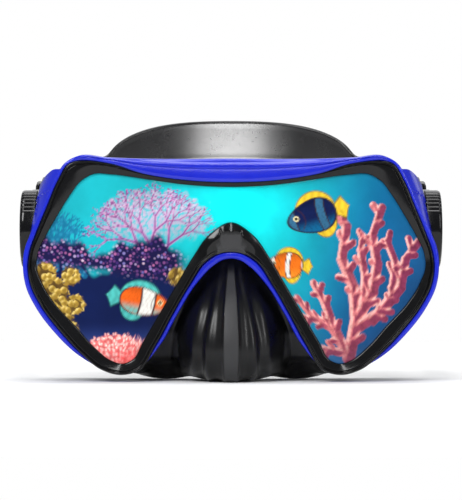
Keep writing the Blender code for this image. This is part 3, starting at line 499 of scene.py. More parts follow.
def paint(colour, layers):
    """Colours (n, 3) with layers laid over them in turn; a layer is a share at each point and a colour."""
    for share, over in layers:
        colour = colour + (np.array(over) - colour) * np.clip(share, 0, 1)[:, None]
    return colour


# %% [markdown]
# A fish is made of ovals laid over each other: fins first, then the dark edge of the body, the body,
# its bands and its eye. Each oval is a number that is 1 in its middle and 0 at its edge, so a soft or a
# hard edge is a matter of where that number is cut. An outline of points would be stiffer and longer.


# %% Fish
def turned(points, centre, angle, length):
    """Points seen from a fish: from its middle, turned so that it looks along +u, in half lengths."""
    c, s = math.cos(angle), math.sin(angle)
    d = (points - centre) / (length / 2)
    return d[:, 0] * c + d[:, 1] * s, -d[:, 0] * s + d[:, 1] * c


def fish(points, centre, angle, length, body, stripe, fin, belly, tall, bands, shift):
    """Layers of a small fish: a pointed oval body with bands, scales and a paler belly, an eye with a
    ring, a gill line, a forked tail and rayed fins above and below."""
    u, v = turned(points, centre, angle, length)
    v = v * (1 if math.cos(angle) > 0 else -1)
    oval = 1 - np.hypot((u - 0.15) / (0.8 + 0.06 * np.sign(u)), v / (tall * (1 - 0.25 * (u - 0.15))))
    fork = 0.30 * (abs(v) / tall) ** 0.7
    tail = np.minimum(0.42 * (-u - 0.55) + 0.11 - abs(v) * 0.6, u + 1.05 - fork * 0.9)
    tail = np.where(u < -0.5, tail, -1)
    crest = 1 - np.hypot((u - 0.05) / 0.66, (v - 0.12) / (tall * 1.22))
    keel = 1 - np.hypot((u + 0.12) / 0.42, (v + 0.14) / (tall * 1.18))
    rays = 0.5 + 0.5 * np.sin((u * 26 + abs(v) * 12))
    fins = np.maximum(np.maximum(crest, keel), tail * 1.6)
    inside = ease(oval, 0.03, 0.12)
    wave = np.sin((u - 0.62 + shift + 0.25 * v * v) * math.pi * (bands + 0.5) / 1.2)
    band = inside * (u > -0.55)
    scales = np.sin(u * 44 + 3 * np.sin(v * 30)) * np.sin(v * 40)
    gill = abs(np.hypot(u - 0.86, v) - 0.42)
    eye = 1 - np.hypot(u - 0.70, v - 0.07) / 0.10
    return [
        (ease(fins, -0.03, 0.03) * 0.9, np.array(fin) * 0.25),
        (ease(fins, 0.02, 0.09), fin),
        (ease(fins, 0.02, 0.1) * rays * 0.45, np.array(fin) * 0.45),
        (ease(oval, -0.04, 0.02), (0.02, 0.012, 0.02)),
        (ease(oval, 0.02, 0.09), body),
        (inside * ease(-v, 0.02, tall * 0.8) * 0.9, belly),
        (inside * ease(v, 0.12, tall) * 0.6, np.array(body) * 0.3),
        (ease(wave, 0.50, 0.62) * band, (0.03, 0.015, 0.02)),
        (ease(wave, 0.66, 0.8) * band, stripe),
        (inside * ease(scales, 0.1, 0.9) * 0.30, np.array(body) * 0.35),
        (inside * ease(-gill, -0.035, 0.0) * (u < 0.6) * 0.6, (0.05, 0.015, 0.01)),
        (ease(eye, 0.0, 0.25), (0.75, 0.65, 0.35)),
        (ease(eye, 0.35, 0.6), (0.004, 0.004, 0.006)),
    ]


# %% [markdown]
# The whole coating is painted from back to front, as on paper: water, dark reef and its crust, sea fan,
# weeds, finger coral, anemone, cup coral and the three fish. Each growth gives a list of layers, and a
# layer is a share at every point and a colour. Places are millimetres in the pane's plane.

# %% The reef's colours and its layers
TURQUOISE, CYAN = (0.01, 0.41, 0.46), (0.004, 0.69, 0.70)
BLUE, DEEP = (0.004, 0.12, 0.27), (0.010, 0.05, 0.16)
NAVY, TEAL = (0.004, 0.010, 0.06), (0.01, 0.26, 0.36)
LILAC, PINK, SALMON, RED = (0.36, 0.17, 0.42), (0.60, 0.30, 0.46), (0.56, 0.15, 0.16), (0.72, 0.12, 0.12)
YELLOW, ORANGE, WHITE = (0.50, 0.32, 0.05), (0.85, 0.25, 0.02), (0.75, 0.75, 0.70)
AQUA, AMBER = (0.08, 0.50, 0.46), (0.80, 0.52, 0.03)


def water(x, z):
    """Layers of water, bright over the nose and deep to the right, and of the dark reef below it; with
    them the share of small growths that crust the reef's upper edge."""
    sway = 3.0 * np.sin(x / 6.3 + 1.0) + 1.6 * np.sin(x / 2.7 + 0.4) + 1.0 * np.sin(x / 1.3)
    dark = ease(51 + sway - z, 0, 3.0) * ease(-x, 14, 24)
    crust = ease(60 + sway - z, 0, 4) * ease(z - 44 + 0.12 * (x + 50), 0, 5) * ease(-x, 16, 24)
    return [
        (np.exp(-((x - 4) ** 2) / 500 - (z - 74) ** 2 / 900), CYAN),
        (ease(x - 0.25 * z, -6, 50), BLUE),
        (ease(x - 0.9 * z, -20, 62) * 0.95, DEEP),
        (ease(-x - 0.3 * z, 22, 70) * 0.5, TEAL),
        (dark, NAVY),
        (dark * ease(-z, -26, -12) * 0.7, (0.03, 0.06, 0.25)),
    ], crust


# %% [markdown]
# A sea fan is a flat, finely branched growth. Three plants that start from one place give its wide
# outline, and small dots over their upper half stand for the polyps. The weeds at the left use the same
# rule with fewer splits.


# %% The sea fan and the weeds
def sea_fan(points, x, z):
    """Layers of the sea fan: three plants of stems from one root, with a crown of small polyps."""
    stems = np.vstack([
        grow((-33, 50), 1.72, 9.5, 1.3, 8, 0.46, seed=11),
        grow((-33, 52), 2.35, 8.5, 1.0, 7, 0.44, seed=5),
        grow((-31, 52), 0.95, 8.0, 1.0, 7, 0.44, seed=8),
    ])
    stem = stem_distance(points, stems)
    glow = np.exp(-(((x + 33) / 24) ** 2) - ((z - 69) / 13) ** 2)
    crown = ease(glow + 0.10 * np.sin(x * 0.9) * np.sin(z * 0.8), 0.34, 0.50)
    polyps = 0.12 + 0.50 * ease(buds(points, 1.7, 31), 0.05, 0.5)
    pale = ease(buds(points, 1.7, 32), 0.45, 0.8)
    return [
        (ease(stem, -0.35, 0.3), LILAC),
        (ease(stem, 0.3, 0.9) * 0.6, (0.16, 0.03, 0.14)),
        (polyps * crown * ease(z, 58, 66), PINK),
        (pale * crown * ease(z, 64, 74) * 0.55, (0.70, 0.46, 0.64)),
        (ease(stem, 0.25, 0.8) * 0.7, (0.17, 0.04, 0.17)),
    ]


def weeds(points):
    """Layers of six blue weeds in a row at the left, with lighter tufts."""
    stems = np.vstack([
        grow((-82 + 4 * k, 50 - k), 1.15 + 0.2 * k, 7.0 - 0.4 * k, 1.3, 6, 0.36, seed=20 + k)
        for k in range(6)
    ])
    weed = ease(stem_distance(points, stems), -0.2, 0.4)
    tufts = ease(buds(points, 2.2, 33), 0.3, 0.7)
    return [(weed * 0.85, (0.008, 0.11, 0.24)), (weed * tufts * 0.6, (0.02, 0.26, 0.42))]


# %% [markdown]
# The finger coral is thick and lies in front, so it needs light and shade. Its stems are paths drawn
# point by point, because a rule's random branches would not lean to the right as they do here.

# %% The finger coral
FINGERS = [  # path, radius; the place in the list is the seed, from 1
    ([(50, 10), (44, 22), (40, 33), (35, 42)], 2.2),
    ([(44, 22), (34, 28), (28, 36)], 1.7),
    ([(50, 10), (53, 26), (52, 40), (47, 52), (49, 66), (44, 72)], 2.6),
    ([(53, 26), (60, 38), (62, 50), (60, 62), (64, 74)], 2.5),
    ([(52, 22), (64, 30), (72, 40), (74, 52), (80, 60)], 2.4),
    ([(50, 12), (38, 14), (31, 20), (26, 25)], 1.7),
    ([(46, 18), (40, 26), (33, 27), (25, 30)], 1.5),
    ([(56, 30), (57, 44), (55, 56), (56, 62)], 2.0),
    ([(60, 26), (68, 36), (70, 50), (66, 60)], 2.2),
]


def finger_coral(points, x, z):
    """Layers of the finger coral, lit from the upper left, and its share for soft light. A point faces
    the light if a step towards the lower right takes it deeper into its stem."""
    stems = np.vstack([fingers(path, radius, seed) for seed, (path, radius) in enumerate(FINGERS, 1)])
    stalk = stem_distance(points, stems)
    facing = stem_distance(points + (1.3, -1.3), stems) - stalk
    body = ease(stalk, -0.08, 0.14)
    knob = ease(buds(points, 2.4, 34), 0.1, 0.7)
    return [
        (body, SALMON),
        (body * ease(-facing, -0.10, 0.45) * 0.85, (0.17, 0.02, 0.06)),
        (body * ease(x, 52, 78) * 0.45, (0.14, 0.015, 0.07)),
        (body * knob * ease(facing, -0.25, 0.2) * 0.40, (0.66, 0.22, 0.21)),
        (body * ease(facing, 0.12, 0.55) * 0.80, (0.84, 0.46, 0.41)),
        (body * ease(-z, -24, -10) * 0.5, (0.12, 0.015, 0.05)),
    ], ease(stalk, 0.0, 0.2)


# %% [markdown]
# The anemone and the cup coral are crowds of small round things in a larger shape, so both are a mask
# for the larger shape times a pattern of buds.


# %% The anemone and the cup coral
def anemone(points, x, z):
    """Layers of the anemone, an oval fringed with upright tips, and its share for soft light."""
    bloom = 1 - np.hypot((x + 49) / 15.5, (z - 11) / 9.5)
    tips = buds(points * (1.0, 0.7), 1.5, 36)
    pale_tips = ease(buds(points * (1.0, 0.7), 1.5, 37), 0.5, 0.85)
    flower = ease(bloom + 0.16 * tips, 0.04, 0.14)
    return [
        (flower, RED),
        (flower * ease(tips, 0.2, 0.7) * 0.85, (0.95, 0.50, 0.46)),
        (flower * pale_tips * ease(z, 9, 16), (0.98, 0.78, 0.70)),
        (flower * ease(-np.hypot(x + 44, z - 9), -7, -1) * 0.7, (0.70, 0.04, 0.04)),
    ], ease(bloom, 0.0, 0.1)


LUMPS = [(-79, 46, 5), (-75, 38, 6), (-73, 29, 6), (-70, 22, 5), (-66, 33, 4), (-68, 45, 4), (-23, 45, 4)]


def cup_coral(points, x, z):
    """Layers of the yellow cup coral, lumps (x, z, radius) of small cups, and its share for soft light."""
    lumps = np.array(LUMPS)
    spot = (1 - np.hypot(x[:, None] - lumps[:, 0], z[:, None] - lumps[:, 1]) / lumps[:, 2]).max(1)
    ripple = 0.5 + 0.5 * np.sin(x * 2.3 + 2 * np.sin(z * 1.1)) * np.sin(z * 2.1 + 2 * np.sin(x * 0.9))
    lobe = ease(spot + 0.25 * ripple, 0.02, 0.2)
    cup = buds(points, 2.9, 35)
    lit = buds(points + (0.7, -0.7), 2.9, 35) - cup
    return [
        (lobe, (0.10, 0.055, 0.015)),
        (lobe * ease(cup, 0.05, 0.30), np.array(YELLOW) * 0.85),
        (lobe * ease(cup, 0.1, 0.2) * ease(lit, 0.05, 0.35) * 0.85, (0.74, 0.55, 0.17)),
        (lobe * ease(-lit, 0.05, 0.35) * 0.55, (0.16, 0.085, 0.015)),
    ], ease(spot, 0.0, 0.2)


# %% [markdown]
# Three fish swim in front of everything. Then all layers go over the plain turquoise in their order.

# %% The whole reef
SHOAL = [  # centre, angle, length, body, stripe, fin, belly, tall, bands, shift
    ((-39.5, 34.5), -0.20, 27, (0.80, 0.12, 0.01), WHITE, AQUA, AQUA, 0.44, 1, 0.70),
    ((25, 49.5), math.pi - 0.05, 19, (0.80, 0.16, 0.01), WHITE, AMBER, ORANGE, 0.58, 3, 0.0),
    ((37, 71), math.pi + 0.3, 27, NAVY, (0.03, 0.12, 0.22), AMBER, BLUE, 0.54, 2, 0.0),
]


def reef(points):
    """Colours (n, 3) for points (x, z) in mm, and two shares: where small growths crust the reef and
    where the growth is soft and lit from above."""
    x, z = points[:, 0], points[:, 1]
    ground, crust = water(x, z)
    coral, coral_soft = finger_coral(points, x, z)
    flower, flower_soft = anemone(points, x, z)
    cups, cups_soft = cup_coral(points, x, z)
    layers = ground + sea_fan(points, x, z) + weeds(points) + coral + flower + cups
    for one in SHOAL:
        layers = layers + fish(points, *one)
    colour = paint(np.broadcast_to(np.array(TURQUOISE), (len(x), 3)), layers)
    soft = flower_soft + cups_soft + coral_soft
    return colour, crust * (1 - np.clip(soft, 0, 1)), np.clip(soft, 0, 1)


# %% [markdown]
# Real coatings of this kind are a thin film on the outside of the glass, so the picture sits on a
# smooth, glossy surface. The colours come from the points; what is finer than the grid, the crust's
# dots and the growths' small bumps, is added by nodes. A little emission stands for the light that the
# film throws back in every direction.

# %% The mirror coating's finish
coating = bpy.data.materials.new("mirror_coating")
coating.use_nodes = True
tree = coating.node_tree
shader = tree.nodes["Principled BSDF"]
scene_colour = add_node(tree, "ShaderNodeAttribute", {"attribute_name": "reef_colour"}).outputs["Color"]
shares = add_node(tree, "ShaderNodeAttribute", {"attribute_name": "reef_shares"})
split = add_node(tree, "ShaderNodeSeparateColor", Color=shares.outputs["Color"])
spot_place = add_node(tree, "ShaderNodeTexCoord").outputs["Object"]
dots = add_node(tree, "ShaderNodeTexVoronoi", Vector=spot_place, Scale=620.0)
tints = ramp(
    tree,
    add_node(tree, "ShaderNodeSeparateColor", Color=dots.outputs["Color"]).outputs[0],
    [
        (0.0, (0.02, 0.012, 0.10)),
        (0.35, (0.12, 0.04, 0.17)),
        (0.6, (0.40, 0.12, 0.28)),
        (0.8, (0.10, 0.10, 0.34)),
        (1.0, (0.55, 0.38, 0.50)),
    ],
)
round_dot = ramp(tree, dots.outputs["Distance"], [(0.25, 1.0), (0.55, 0.0)])
crusted = blend_colour(tree, round_dot, (0.01, 0.008, 0.05, 1), tints)
mixed = blend_colour(tree, split.outputs[0], scene_colour, crusted)
bumps = add_node(tree, "ShaderNodeTexNoise", Vector=spot_place, Scale=520.0, Detail=3.0)
light_and_dark = ramp(tree, bumps.outputs[0], [(0.3, 0.72), (0.5, 0.97), (0.72, 1.2)])
lively = blend_colour(tree, 1.0, mixed, light_and_dark, "MULTIPLY")
drift = add_node(tree, "ShaderNodeTexNoise", Vector=spot_place, Scale=45.0, Detail=4.0)
slow_light = ramp(tree, drift.outputs[0], [(0.3, 0.82), (0.7, 1.18)])
soft_light_mix = blend_colour(tree, 1.0, mixed, slow_light, "MULTIPLY")
coloured = blend_colour(tree, split.outputs[1], soft_light_mix, lively)
tree.links.new(coloured, shader.inputs["Base Color"])
tree.links.new(coloured, shader.inputs["Emission Color"])
shader.inputs["Emission Strength"].default_value = 0.12
shader.inputs["Specular IOR Level"].default_value = 0.25
smears = add_node(tree, "ShaderNodeGroup", {"node_tree": moulded}, Haze=0.08, Roughness=0.07)
tree.links.new(smears.outputs["Roughness"], shader.inputs["Roughness"])

# %% [markdown]
# The pane is one piece. The front and its bevel carry the reef. From inside, the film only tints the
# glass dark.

# %% The pane with its colours
glass = add_piece("glass", glass_grids, coating, "mask", ["lens"], close_ends=False)
spots = np.empty(len(glass.data.vertices) * 3)
glass.data.vertices.foreach_get("co", spots)
spots = spots.reshape(-1, 3)
colours, crust, soft = reef(spots[:, [0, 2]] / MM)
rear = (spots[:, 1] > GLASS_Y + 2 * GLASS_BEVEL)[:, None]  # the inside is only a dark blue tint
colours = np.where(rear, (0.004, 0.045, 0.06), colours)
crust, soft = crust * ~rear[:, 0], soft * ~rear[:, 0]
for label, values in (("reef_colour", colours), ("reef_shares", np.column_stack([crust, soft, soft * 0]))):
    layer = glass.data.attributes.new(label, "FLOAT_COLOR", "POINT")
    layer.data.foreach_set("color", np.column_stack([values, np.ones(len(values))]).ravel())
print("reef on", len(colours), "points; crusted", round(float(crust.mean()), 2))

# %% [markdown]
# ## The black ring
# The ring lies on the glass. From the glass outwards it has a small lip, a wide sloping face, a narrow
# channel and a thin raised rim. A profile is a row of corners; each corner has a share of the way from
# the glass edge to the ring's edge, a step in millimetres along that way, and a depth. The same profile
# then follows the whole outline. A bevelled curve could do this only with the same profile everywhere.
# Here the profile changes at the bridge of the nose, where the ring is tall and has a flat cut, so the
# profile's corners move with the place.


# %% The black ring
def carry(inner, outer, corners, depth_shift=0.0):
    """Profiles carried between two outlines: corner (share, step, depth) lies at inner + (outer -
    inner) * share + unit way * step, at that depth. Steps shrink where the way is short."""
    way = outer - inner
    length = np.linalg.norm(way, axis=1, keepdims=True)
    unit = way / np.maximum(length, 1e-9)
    corners = np.asarray(corners, float)
    fit = np.minimum(1.0, length / (4.6 * MM))
    flat = inner[:, None] + way[:, None] * corners[None, :, 0:1]
    flat = flat + (unit * fit)[:, None] * corners[None, :, 1:2] * MM
    return in_plane(flat, corners[None, :, 2] * MM + depth_shift)


RING = [  # (share, step, depth), round the profile from the glass
    (0.0, 0.0, -0.05),
    (0.0, 0.0, -0.9),
    (0.0, 0.5, -1.25),
    (0.55, 0.0, -1.9),
    (1.0, -1.75, -2.0),
    (1.0, -1.55, -1.55),
    (1.0, -1.15, -1.55),
    (1.0, -0.95, -2.6),
    (1.0, -0.2, -2.5),
    (1.0, 0.0, -1.9),
    (1.0, 0.0, -0.3),
    (1.0, -0.5, -0.1),
    (0.0, 1.3, -0.1),
    (0.0, 1.2, -0.05),
]
ROUND = np.array([0.05, 0.3, 0.2, 1.2, 0.3, 0.25, 0.2, 0.3, 0.35, 0.3, 0.1, 0.1, 0.1, 0.05]) * MM
ring = carry(glass_edge, ring_edge, RING)
bridge = ease(station, 21.2, 22.2)  # the ring's tall part over the nose
bridge_corners = {1: -1.0, 2: -1.9, 3: -3.0, 4: -1.6, 5: -1.5, 6: -1.5, 7: -1.9, 8: -1.9, 9: -1.5}
for corner, depth in bridge_corners.items():
    target = GLASS_Y + depth * MM
    ring[:, corner, 1] += bridge * (target - ring[:, corner, 1])
slope_top = glass_edge + (ring_edge - glass_edge) * 0.36
ring[:, 3, 0] += bridge * (slope_top[:, 0] - ring[:, 3, 0])
ring[:, 3, 2] += bridge * (slope_top[:, 1] - ring[:, 3, 2])
ring_surface = fillet(ring, ROUND)
FACET_LOW, FACET_HIGH, FACET_HALF = BASE + 46.6 * MM, BASE + 55.2 * MM, 6.2 * MM  # a flat cut on the bridge
rise = (ring_surface[..., 2] - FACET_LOW) / (FACET_HIGH - FACET_LOW)
narrow = FACET_HALF * (1 - 0.30 * np.clip(rise, 0, 1))
flat_share = ease(narrow - abs(ring_surface[..., 0]), 0.0, 0.7 * MM)
flat_share = flat_share * ease(rise, -0.3, -0.1) * ease(-rise, -1.1, -0.95)
flat_share = flat_share * (ring_surface[..., 1] < GLASS_Y - 1.2 * MM)
facet_depth = GLASS_Y - (1.75 + 0.35 * np.clip(rise, 0, 1)) * MM
ring_surface[..., 1] += flat_share * np.maximum(facet_depth - ring_surface[..., 1], 0)
window_ring = add_piece(
    "window_ring", [(ring_surface, True, True)], black_plastic, "mask", ["bezel"]
)


def add_satin_highlight(piece, share_at):
    """Stores at each point of a piece how far it is satin with a painted highlight, a lighter grey; share_at
    turns points (n, 3) into shares.
    """
    spots = np.empty(len(piece.data.vertices) * 3)
    piece.data.vertices.foreach_get("co", spots)
    layer = piece.data.attributes.new("satin_highlight", "FLOAT", "POINT")
    layer.data.foreach_set("value", share_at(spots.reshape(-1, 3)))


def bridge_flat(spots):
    """1 on the bridge's flat cut, where a lighter grey is painted as a highlight, and 0 off it."""
    up = (spots[:, 2] - FACET_LOW) / (FACET_HIGH - FACET_LOW)
    half = FACET_HALF * (1 - 0.30 * np.clip(up, 0, 1))
    inside = ease(half - abs(spots[:, 0]), -0.2 * MM, 0.5 * MM)
    inside = inside * ease(up, -0.3, -0.1) * ease(-up, -1.02, -0.9)
    return inside * (spots[:, 1] < GLASS_Y - 1.0 * MM)


# the bridge's flat cut is duller and gets the lighter grey, a painted highlight
add_satin_highlight(window_ring, bridge_flat)
print("bridge's flat cut from", round(FACET_LOW / MM, 1), "to", round(FACET_HIGH / MM, 1), "mm high")

# %% [markdown]
# ## The blue frame
# The frame holds the ring from behind. Round the sides it shows as a narrow bright rim, under the nose
# as an arch, and above the window it grows into a brow bar that stands in front of the ring. So one
# profile changes along the outline: its corners slide from the plain rim's depths to the brow bar's.

# %% The blue frame's ring and brow bar
frame_hole = glass_edge + outward(glass_edge) * HOLE_STEP
RIM = [  # share, then the plain rim's step and depth, then the brow bar's
    (0.0, 0.35, 0.3, 0.35, 0.3),
    (0.0, 0.35, -0.3, 0.35, -2.95),
    (0.0, 0.35, -0.9, -0.9, -2.95),
    (0.0, 0.6, -1.3, -0.7, -3.9),
    (0.06, 0.6, -1.5, 0.0, -4.3),
    (0.46, 0.0, -1.5, 0.0, -4.2),
    (0.48, 0.0, -1.5, 0.0, -3.85),
    (0.52, 0.0, -1.5, 0.0, -3.95),
    (0.56, 0.0, -1.5, 0.0, -4.35),
    (0.74, 0.0, -1.4, 0.0, -4.3),
    (0.80, 0.0, -1.3, 0.0, -3.6),
    (0.96, 0.0, -1.0, 0.0, -2.4),
    (1.0, 0.0, -0.4, 0.0, -1.0),
    (1.0, 0.0, 6.2, 0.0, 6.2),
]
RIM_ROUND = [0.1, 0.1, 0.3, 0.3, 0.3, 0.2, 0.15, 0.15, 0.3, 0.35, 0.5, 0.6, 0.5, 0.6, 0.5, 0.2]
plain = carry(ring_edge, frame_edge, [(s, a, d) for s, a, d, _, _ in RIM])
brow = carry(ring_edge, frame_edge, [(s, a, d) for s, _, _, a, d in RIM])
brow_share = (1 - ease(station, 3.3, 4.6))[:, None, None]
front_rim = plain * (1 - brow_share) + brow * brow_share
raised = ease(np.linalg.norm(frame_edge - ring_edge, axis=1), 0.4 * MM, 1.6 * MM)[:, None]
hidden = GLASS_Y + 0.35 * MM
front_rim[:, 1:13, 1] = hidden + (front_rim[:, 1:13, 1] - hidden) * raised
rear = np.stack([in_plane(frame_hole, 6.2 * MM), in_plane(frame_hole, 0.35 * MM)], 1)
frame_loops = fillet(np.concatenate([front_rim, rear], 1), np.array(RIM_ROUND) * MM)
add_piece("blue_frame", [(frame_loops, True, True)], blue_plastic, "mask", ["outer_frame"])

# %% [markdown]
# The two arms carry the strap's swivels. An arm is a curved wall that leaves the rim at the temple and
# runs back to a flat lug with the swivel's hole. Rows of points at a few depths rule the wall; its
# thickness is added along the surface's own normal. A solid arm would be simpler, but from behind one
# looks into it, and a moulded arm is a wall of even thickness.


# %% The side arms and the lugs
def surface_normals(grid, wrap_rows=False, wrap_columns=False):
    """Unit normals of a grid of points: the cross product of its two directions, taken from neighbours."""
    def direction(axis, wrap):
        """Half the way between the two neighbours along one axis; the ends of an open row use one."""
        step = np.roll(grid, -1, axis) - np.roll(grid, 1, axis)
        if not wrap:
            first, last = [slice(None)] * 3, [slice(None)] * 3
            first[axis], last[axis] = 0, -1
            near, far = [slice(None)] * 3, [slice(None)] * 3
            near[axis], far[axis] = 1, -2
            step[tuple(first)] = grid[tuple(near)] - grid[tuple(first)]
            step[tuple(last)] = grid[tuple(last)] - grid[tuple(far)]
        return step
    normal = np.cross(direction(0, wrap_rows), direction(1, wrap_columns))
    return normal / np.maximum(np.linalg.norm(normal, axis=2, keepdims=True), 1e-12)


ARM = [  # (x, depth, height) in mm, rows from the front to the back and each from the top down
    [(71.4, 1.2, 90), (76.2, 1.2, 80), (80.8, 1.2, 70), (85.0, 1.2, 61.5)],
    [(75.2, 6, 90), (79.2, 6, 80.5), (82.9, 6, 70.5), (86.4, 6, 60.5)],
    [(78.4, 11.5, 88), (81.8, 11.5, 79.5), (84.6, 11.5, 70), (86.6, 11.5, 59)],
    [(80.8, 19, 85.5), (83.2, 19, 78), (84.8, 19, 69), (85.6, 19, 56)],
    [(82.2, 25, 84), (83.6, 25, 77), (84.4, 25, 68), (84.6, 25, 54)],
]
ARM_WALL = 3.2 * MM
LUG_INNER, LUG_OUTER = swivel[0] + 79.5 * MM, swivel[0] + 82.0 * MM
BUCKLE_ROOM = 17.4 * MM
LUG_RADIUS, LUG_TAIL = 8.5 * MM, 18.0 * MM
TURN_STEPS = 96  # points round the lug and round the button
PIN_HOLE = 2.0 * MM


def refine(rows, steps):
    """Smooth curves through a table of points both ways."""
    rows = np.asarray(rows, float)
    down = smooth(rows.reshape(len(rows), -1), steps, False)
    table = down.reshape(len(down), -1, 3)
    across = smooth(table.transpose(1, 0, 2).reshape(table.shape[1], -1), steps, False)
    return across.reshape(len(across), len(down), 3).transpose(1, 0, 2)


arm = refine(ARM, 20)
panel = 0.5 * ease(arm[..., 2] - (82.0 - 0.32 * arm[..., 1]), -0.25, 0.25)  # a raised upper panel
arm = arm * MM
arm = np.stack([arm[..., 0], GLASS_Y + arm[..., 1], arm[..., 2] + BASE - 7.6 * MM], -1)
arm_normal = surface_normals(arm)
arm_normal *= np.sign(arm_normal[..., :1])
inner_wall = arm - arm_normal * ARM_WALL
arm = arm + arm_normal * panel[..., None] * MM
away = np.hypot(arm[..., 1] - swivel[1], arm[..., 2] - swivel[2])
outer_wall = arm.copy()
cut = away < BUCKLE_ROOM
outer_wall[..., 0] = np.where(cut, np.minimum(arm[..., 0], LUG_OUTER), arm[..., 0])
inner_wall[..., 0] = np.where(cut, np.minimum(inner_wall[..., 0], LUG_INNER), inner_wall[..., 0])


def arm_grids(side):
    """The arm's closed wall on one side: its outer and inner faces and the border between them."""
    flip = np.array([side, 1, 1])
    rim_out = np.vstack([outer_wall[0], outer_wall[1:-1, -1], outer_wall[-1, ::-1], outer_wall[-2:0:-1, 0]])
    rim_in = np.vstack([inner_wall[0], inner_wall[1:-1, -1], inner_wall[-1, ::-1], inner_wall[-2:0:-1, 0]])
    return [
        (outer_wall * flip, False, False),
        (inner_wall * flip, False, False),
        (np.stack([rim_out, rim_in]) * flip, False, True),
    ]


def lug_grids(side):
    """A flat tongue with a round end and a hole: rings of the same count run from the hole to the edge.
    Towards the front the edge is where a ray meets the tongue's straight sides or its far end."""
    angle = np.linspace(0, 2 * np.pi, TURN_STEPS, endpoint=False)
    circle = np.stack([np.cos(angle), np.sin(angle)], 1)
    ahead, aside = np.maximum(-circle[:, 0], 1e-6), np.maximum(abs(circle[:, 1]), 1e-6)
    reach = np.where(circle[:, 0] < 0, np.minimum(LUG_TAIL / ahead, LUG_RADIUS / aside), LUG_RADIUS)
    edge = circle * reach[:, None]
    rings = [circle * PIN_HOLE, circle * (PIN_HOLE + 0.4 * MM), edge * 0.97, edge]
    faces = [(ring, inset * MM) for ring, inset in zip(rings, (0.4, 0.0, 0.0, 0.4))]
    depths = [(ring, LUG_OUTER - inset) for ring, inset in faces]
    depths += [(ring, LUG_INNER + inset) for ring, inset in faces[::-1]]
    loops = [np.column_stack([np.full(TURN_STEPS, x), ring + swivel[1:]]) for ring, x in depths]
    return [(np.stack(loops) * np.array([side, 1, 1]), True, True)]


for side, hand in ((1, "right"), (-1, "left")):
    add_piece(f"arm_{hand}", arm_grids(side), blue_plastic, "mask", close_ends=False)
    add_piece(f"lug_{hand}", lug_grids(side), blue_plastic, "mask", close_ends=False)

# %% [markdown]
# ## The skirt
# The skirt is one silicone moulding. It starts in a groove behind the glass, steps inwards to the face,
# comes forward in the middle as a pocket for the nose and ends in a thin lip that seals on the skin.
# Each point of the outline has its own profile from the glass to the lip, and smooth curves run through
# the profiles both ways. Sculpting by hand would look softer, but a table of profiles gives the seal
# its true curve round a face.

# %% The skirt's middle surface
FACE_DEPTH, FACE_CURVE, FACE_REACH = 33.0, 19.0, 80.0
RIM_LINE = [
    (0, 90), (18, 90.8), (34, 91.5), (47, 90), (56, 87), (62.5, 82), (67.5, 75.5), (71, 68),
    (73, 60), (73.8, 52), (73.4, 44.5), (71.5, 36.5), (67.5, 28), (61, 19.5), (53.5, 12), (46.5, 6.8),
    (40.5, 3.4), (34.5, 1.6), (28.5, 1.0), (23, 1.4), (18, 2.8), (12.5, 5.0), (6.5, 6.8), (0, 7.5),
]
NOSE_FIRST = 17
NOSE = [
    [(38.6, 12, 8.2), (37.4, 17, 7.0), (36.6, 22, 5.4), (35.9, 26, 4.0), (35.2, 31, 2.6)],
    [(33.5, 11, 14.5), (32.2, 15, 11.5), (31.0, 20, 7.6), (30.0, 25, 4.4), (29.2, 30, 2.0)],
    [(25.8, 9.6, 25), (25.4, 13, 18), (25.0, 18, 11), (24.4, 24, 5.6), (23.6, 29, 2.4)],
    [(16.6, 8.4, 37.6), (19.6, 5.0, 23.5), (20.4, 6.5, 11), (19.4, 13, 4.2), (18.4, 23, 2.4)],
    [(9.2, 8.2, 45.4), (14.6, -1.5, 28.5), (16.4, -3, 11.5), (14.6, 3, 3.2), (13.2, 15, 2.0)],
    [(4.4, 8.0, 49.4), (7.6, -5.5, 31), (9.4, -9.5, 12), (8.4, -4, 2.2), (7.4, 8, 1.2)],
    [(0, 8.0, 50.2), (0, -6.5, 32), (0, -12, 13), (0, -6.5, 2.2), (0, 6, 1.0)],
]
LIP_WIDTH, NOSE_LIP_WIDTH, FACE_CENTRE = 12.0, 4.0, 48.0
SKIRT_WALL = 2.0 * MM
SEAT_STEP = 1.2 * MM


def face_depth(x):
    """How far behind the glass the face's seal lies: a parabola that is deeper to the sides."""
    return FACE_DEPTH + FACE_CURVE * (x / FACE_REACH) ** 2


def skirt_profile(i, seat):
    """The nine points, in mm, of the profile at station i, from the seat behind the glass to the lip's
    edge."""
    rim = np.array(RIM_LINE[i], float)
    rear = face_depth(rim[0])
    if i >= NOSE_FIRST:
        middle = NOSE[i - NOSE_FIRST]
    else:
        shares = ((0.58, 0.10), (0.76, 0.32), (0.88, 0.55), (0.96, 0.76), (1.0, 0.90))
        middle = [
            (seat[0] + (rim[0] - seat[0]) * a, 7.6 + (rear - 7.6) * b, seat[1] + (rim[1] - seat[1]) * a)
            for a, b in shares
        ]
    inwards = np.array([0, FACE_CENTRE]) - rim
    inwards /= np.linalg.norm(inwards)
    at_nose = max(0.0, 1 - abs(rim[0]) / 30) if rim[1] < FACE_CENTRE else 0.0
    lip = rim + inwards * (LIP_WIDTH + (NOSE_LIP_WIDTH - LIP_WIDTH) * at_nose)
    return [
        (seat[0], 3.8, seat[1]),
        (seat[0], 7.6, seat[1]),
        *middle,
        (rim[0], rear, rim[1]),
        (lip[0], face_depth(lip[0]) + 1.0, lip[1]),
    ]


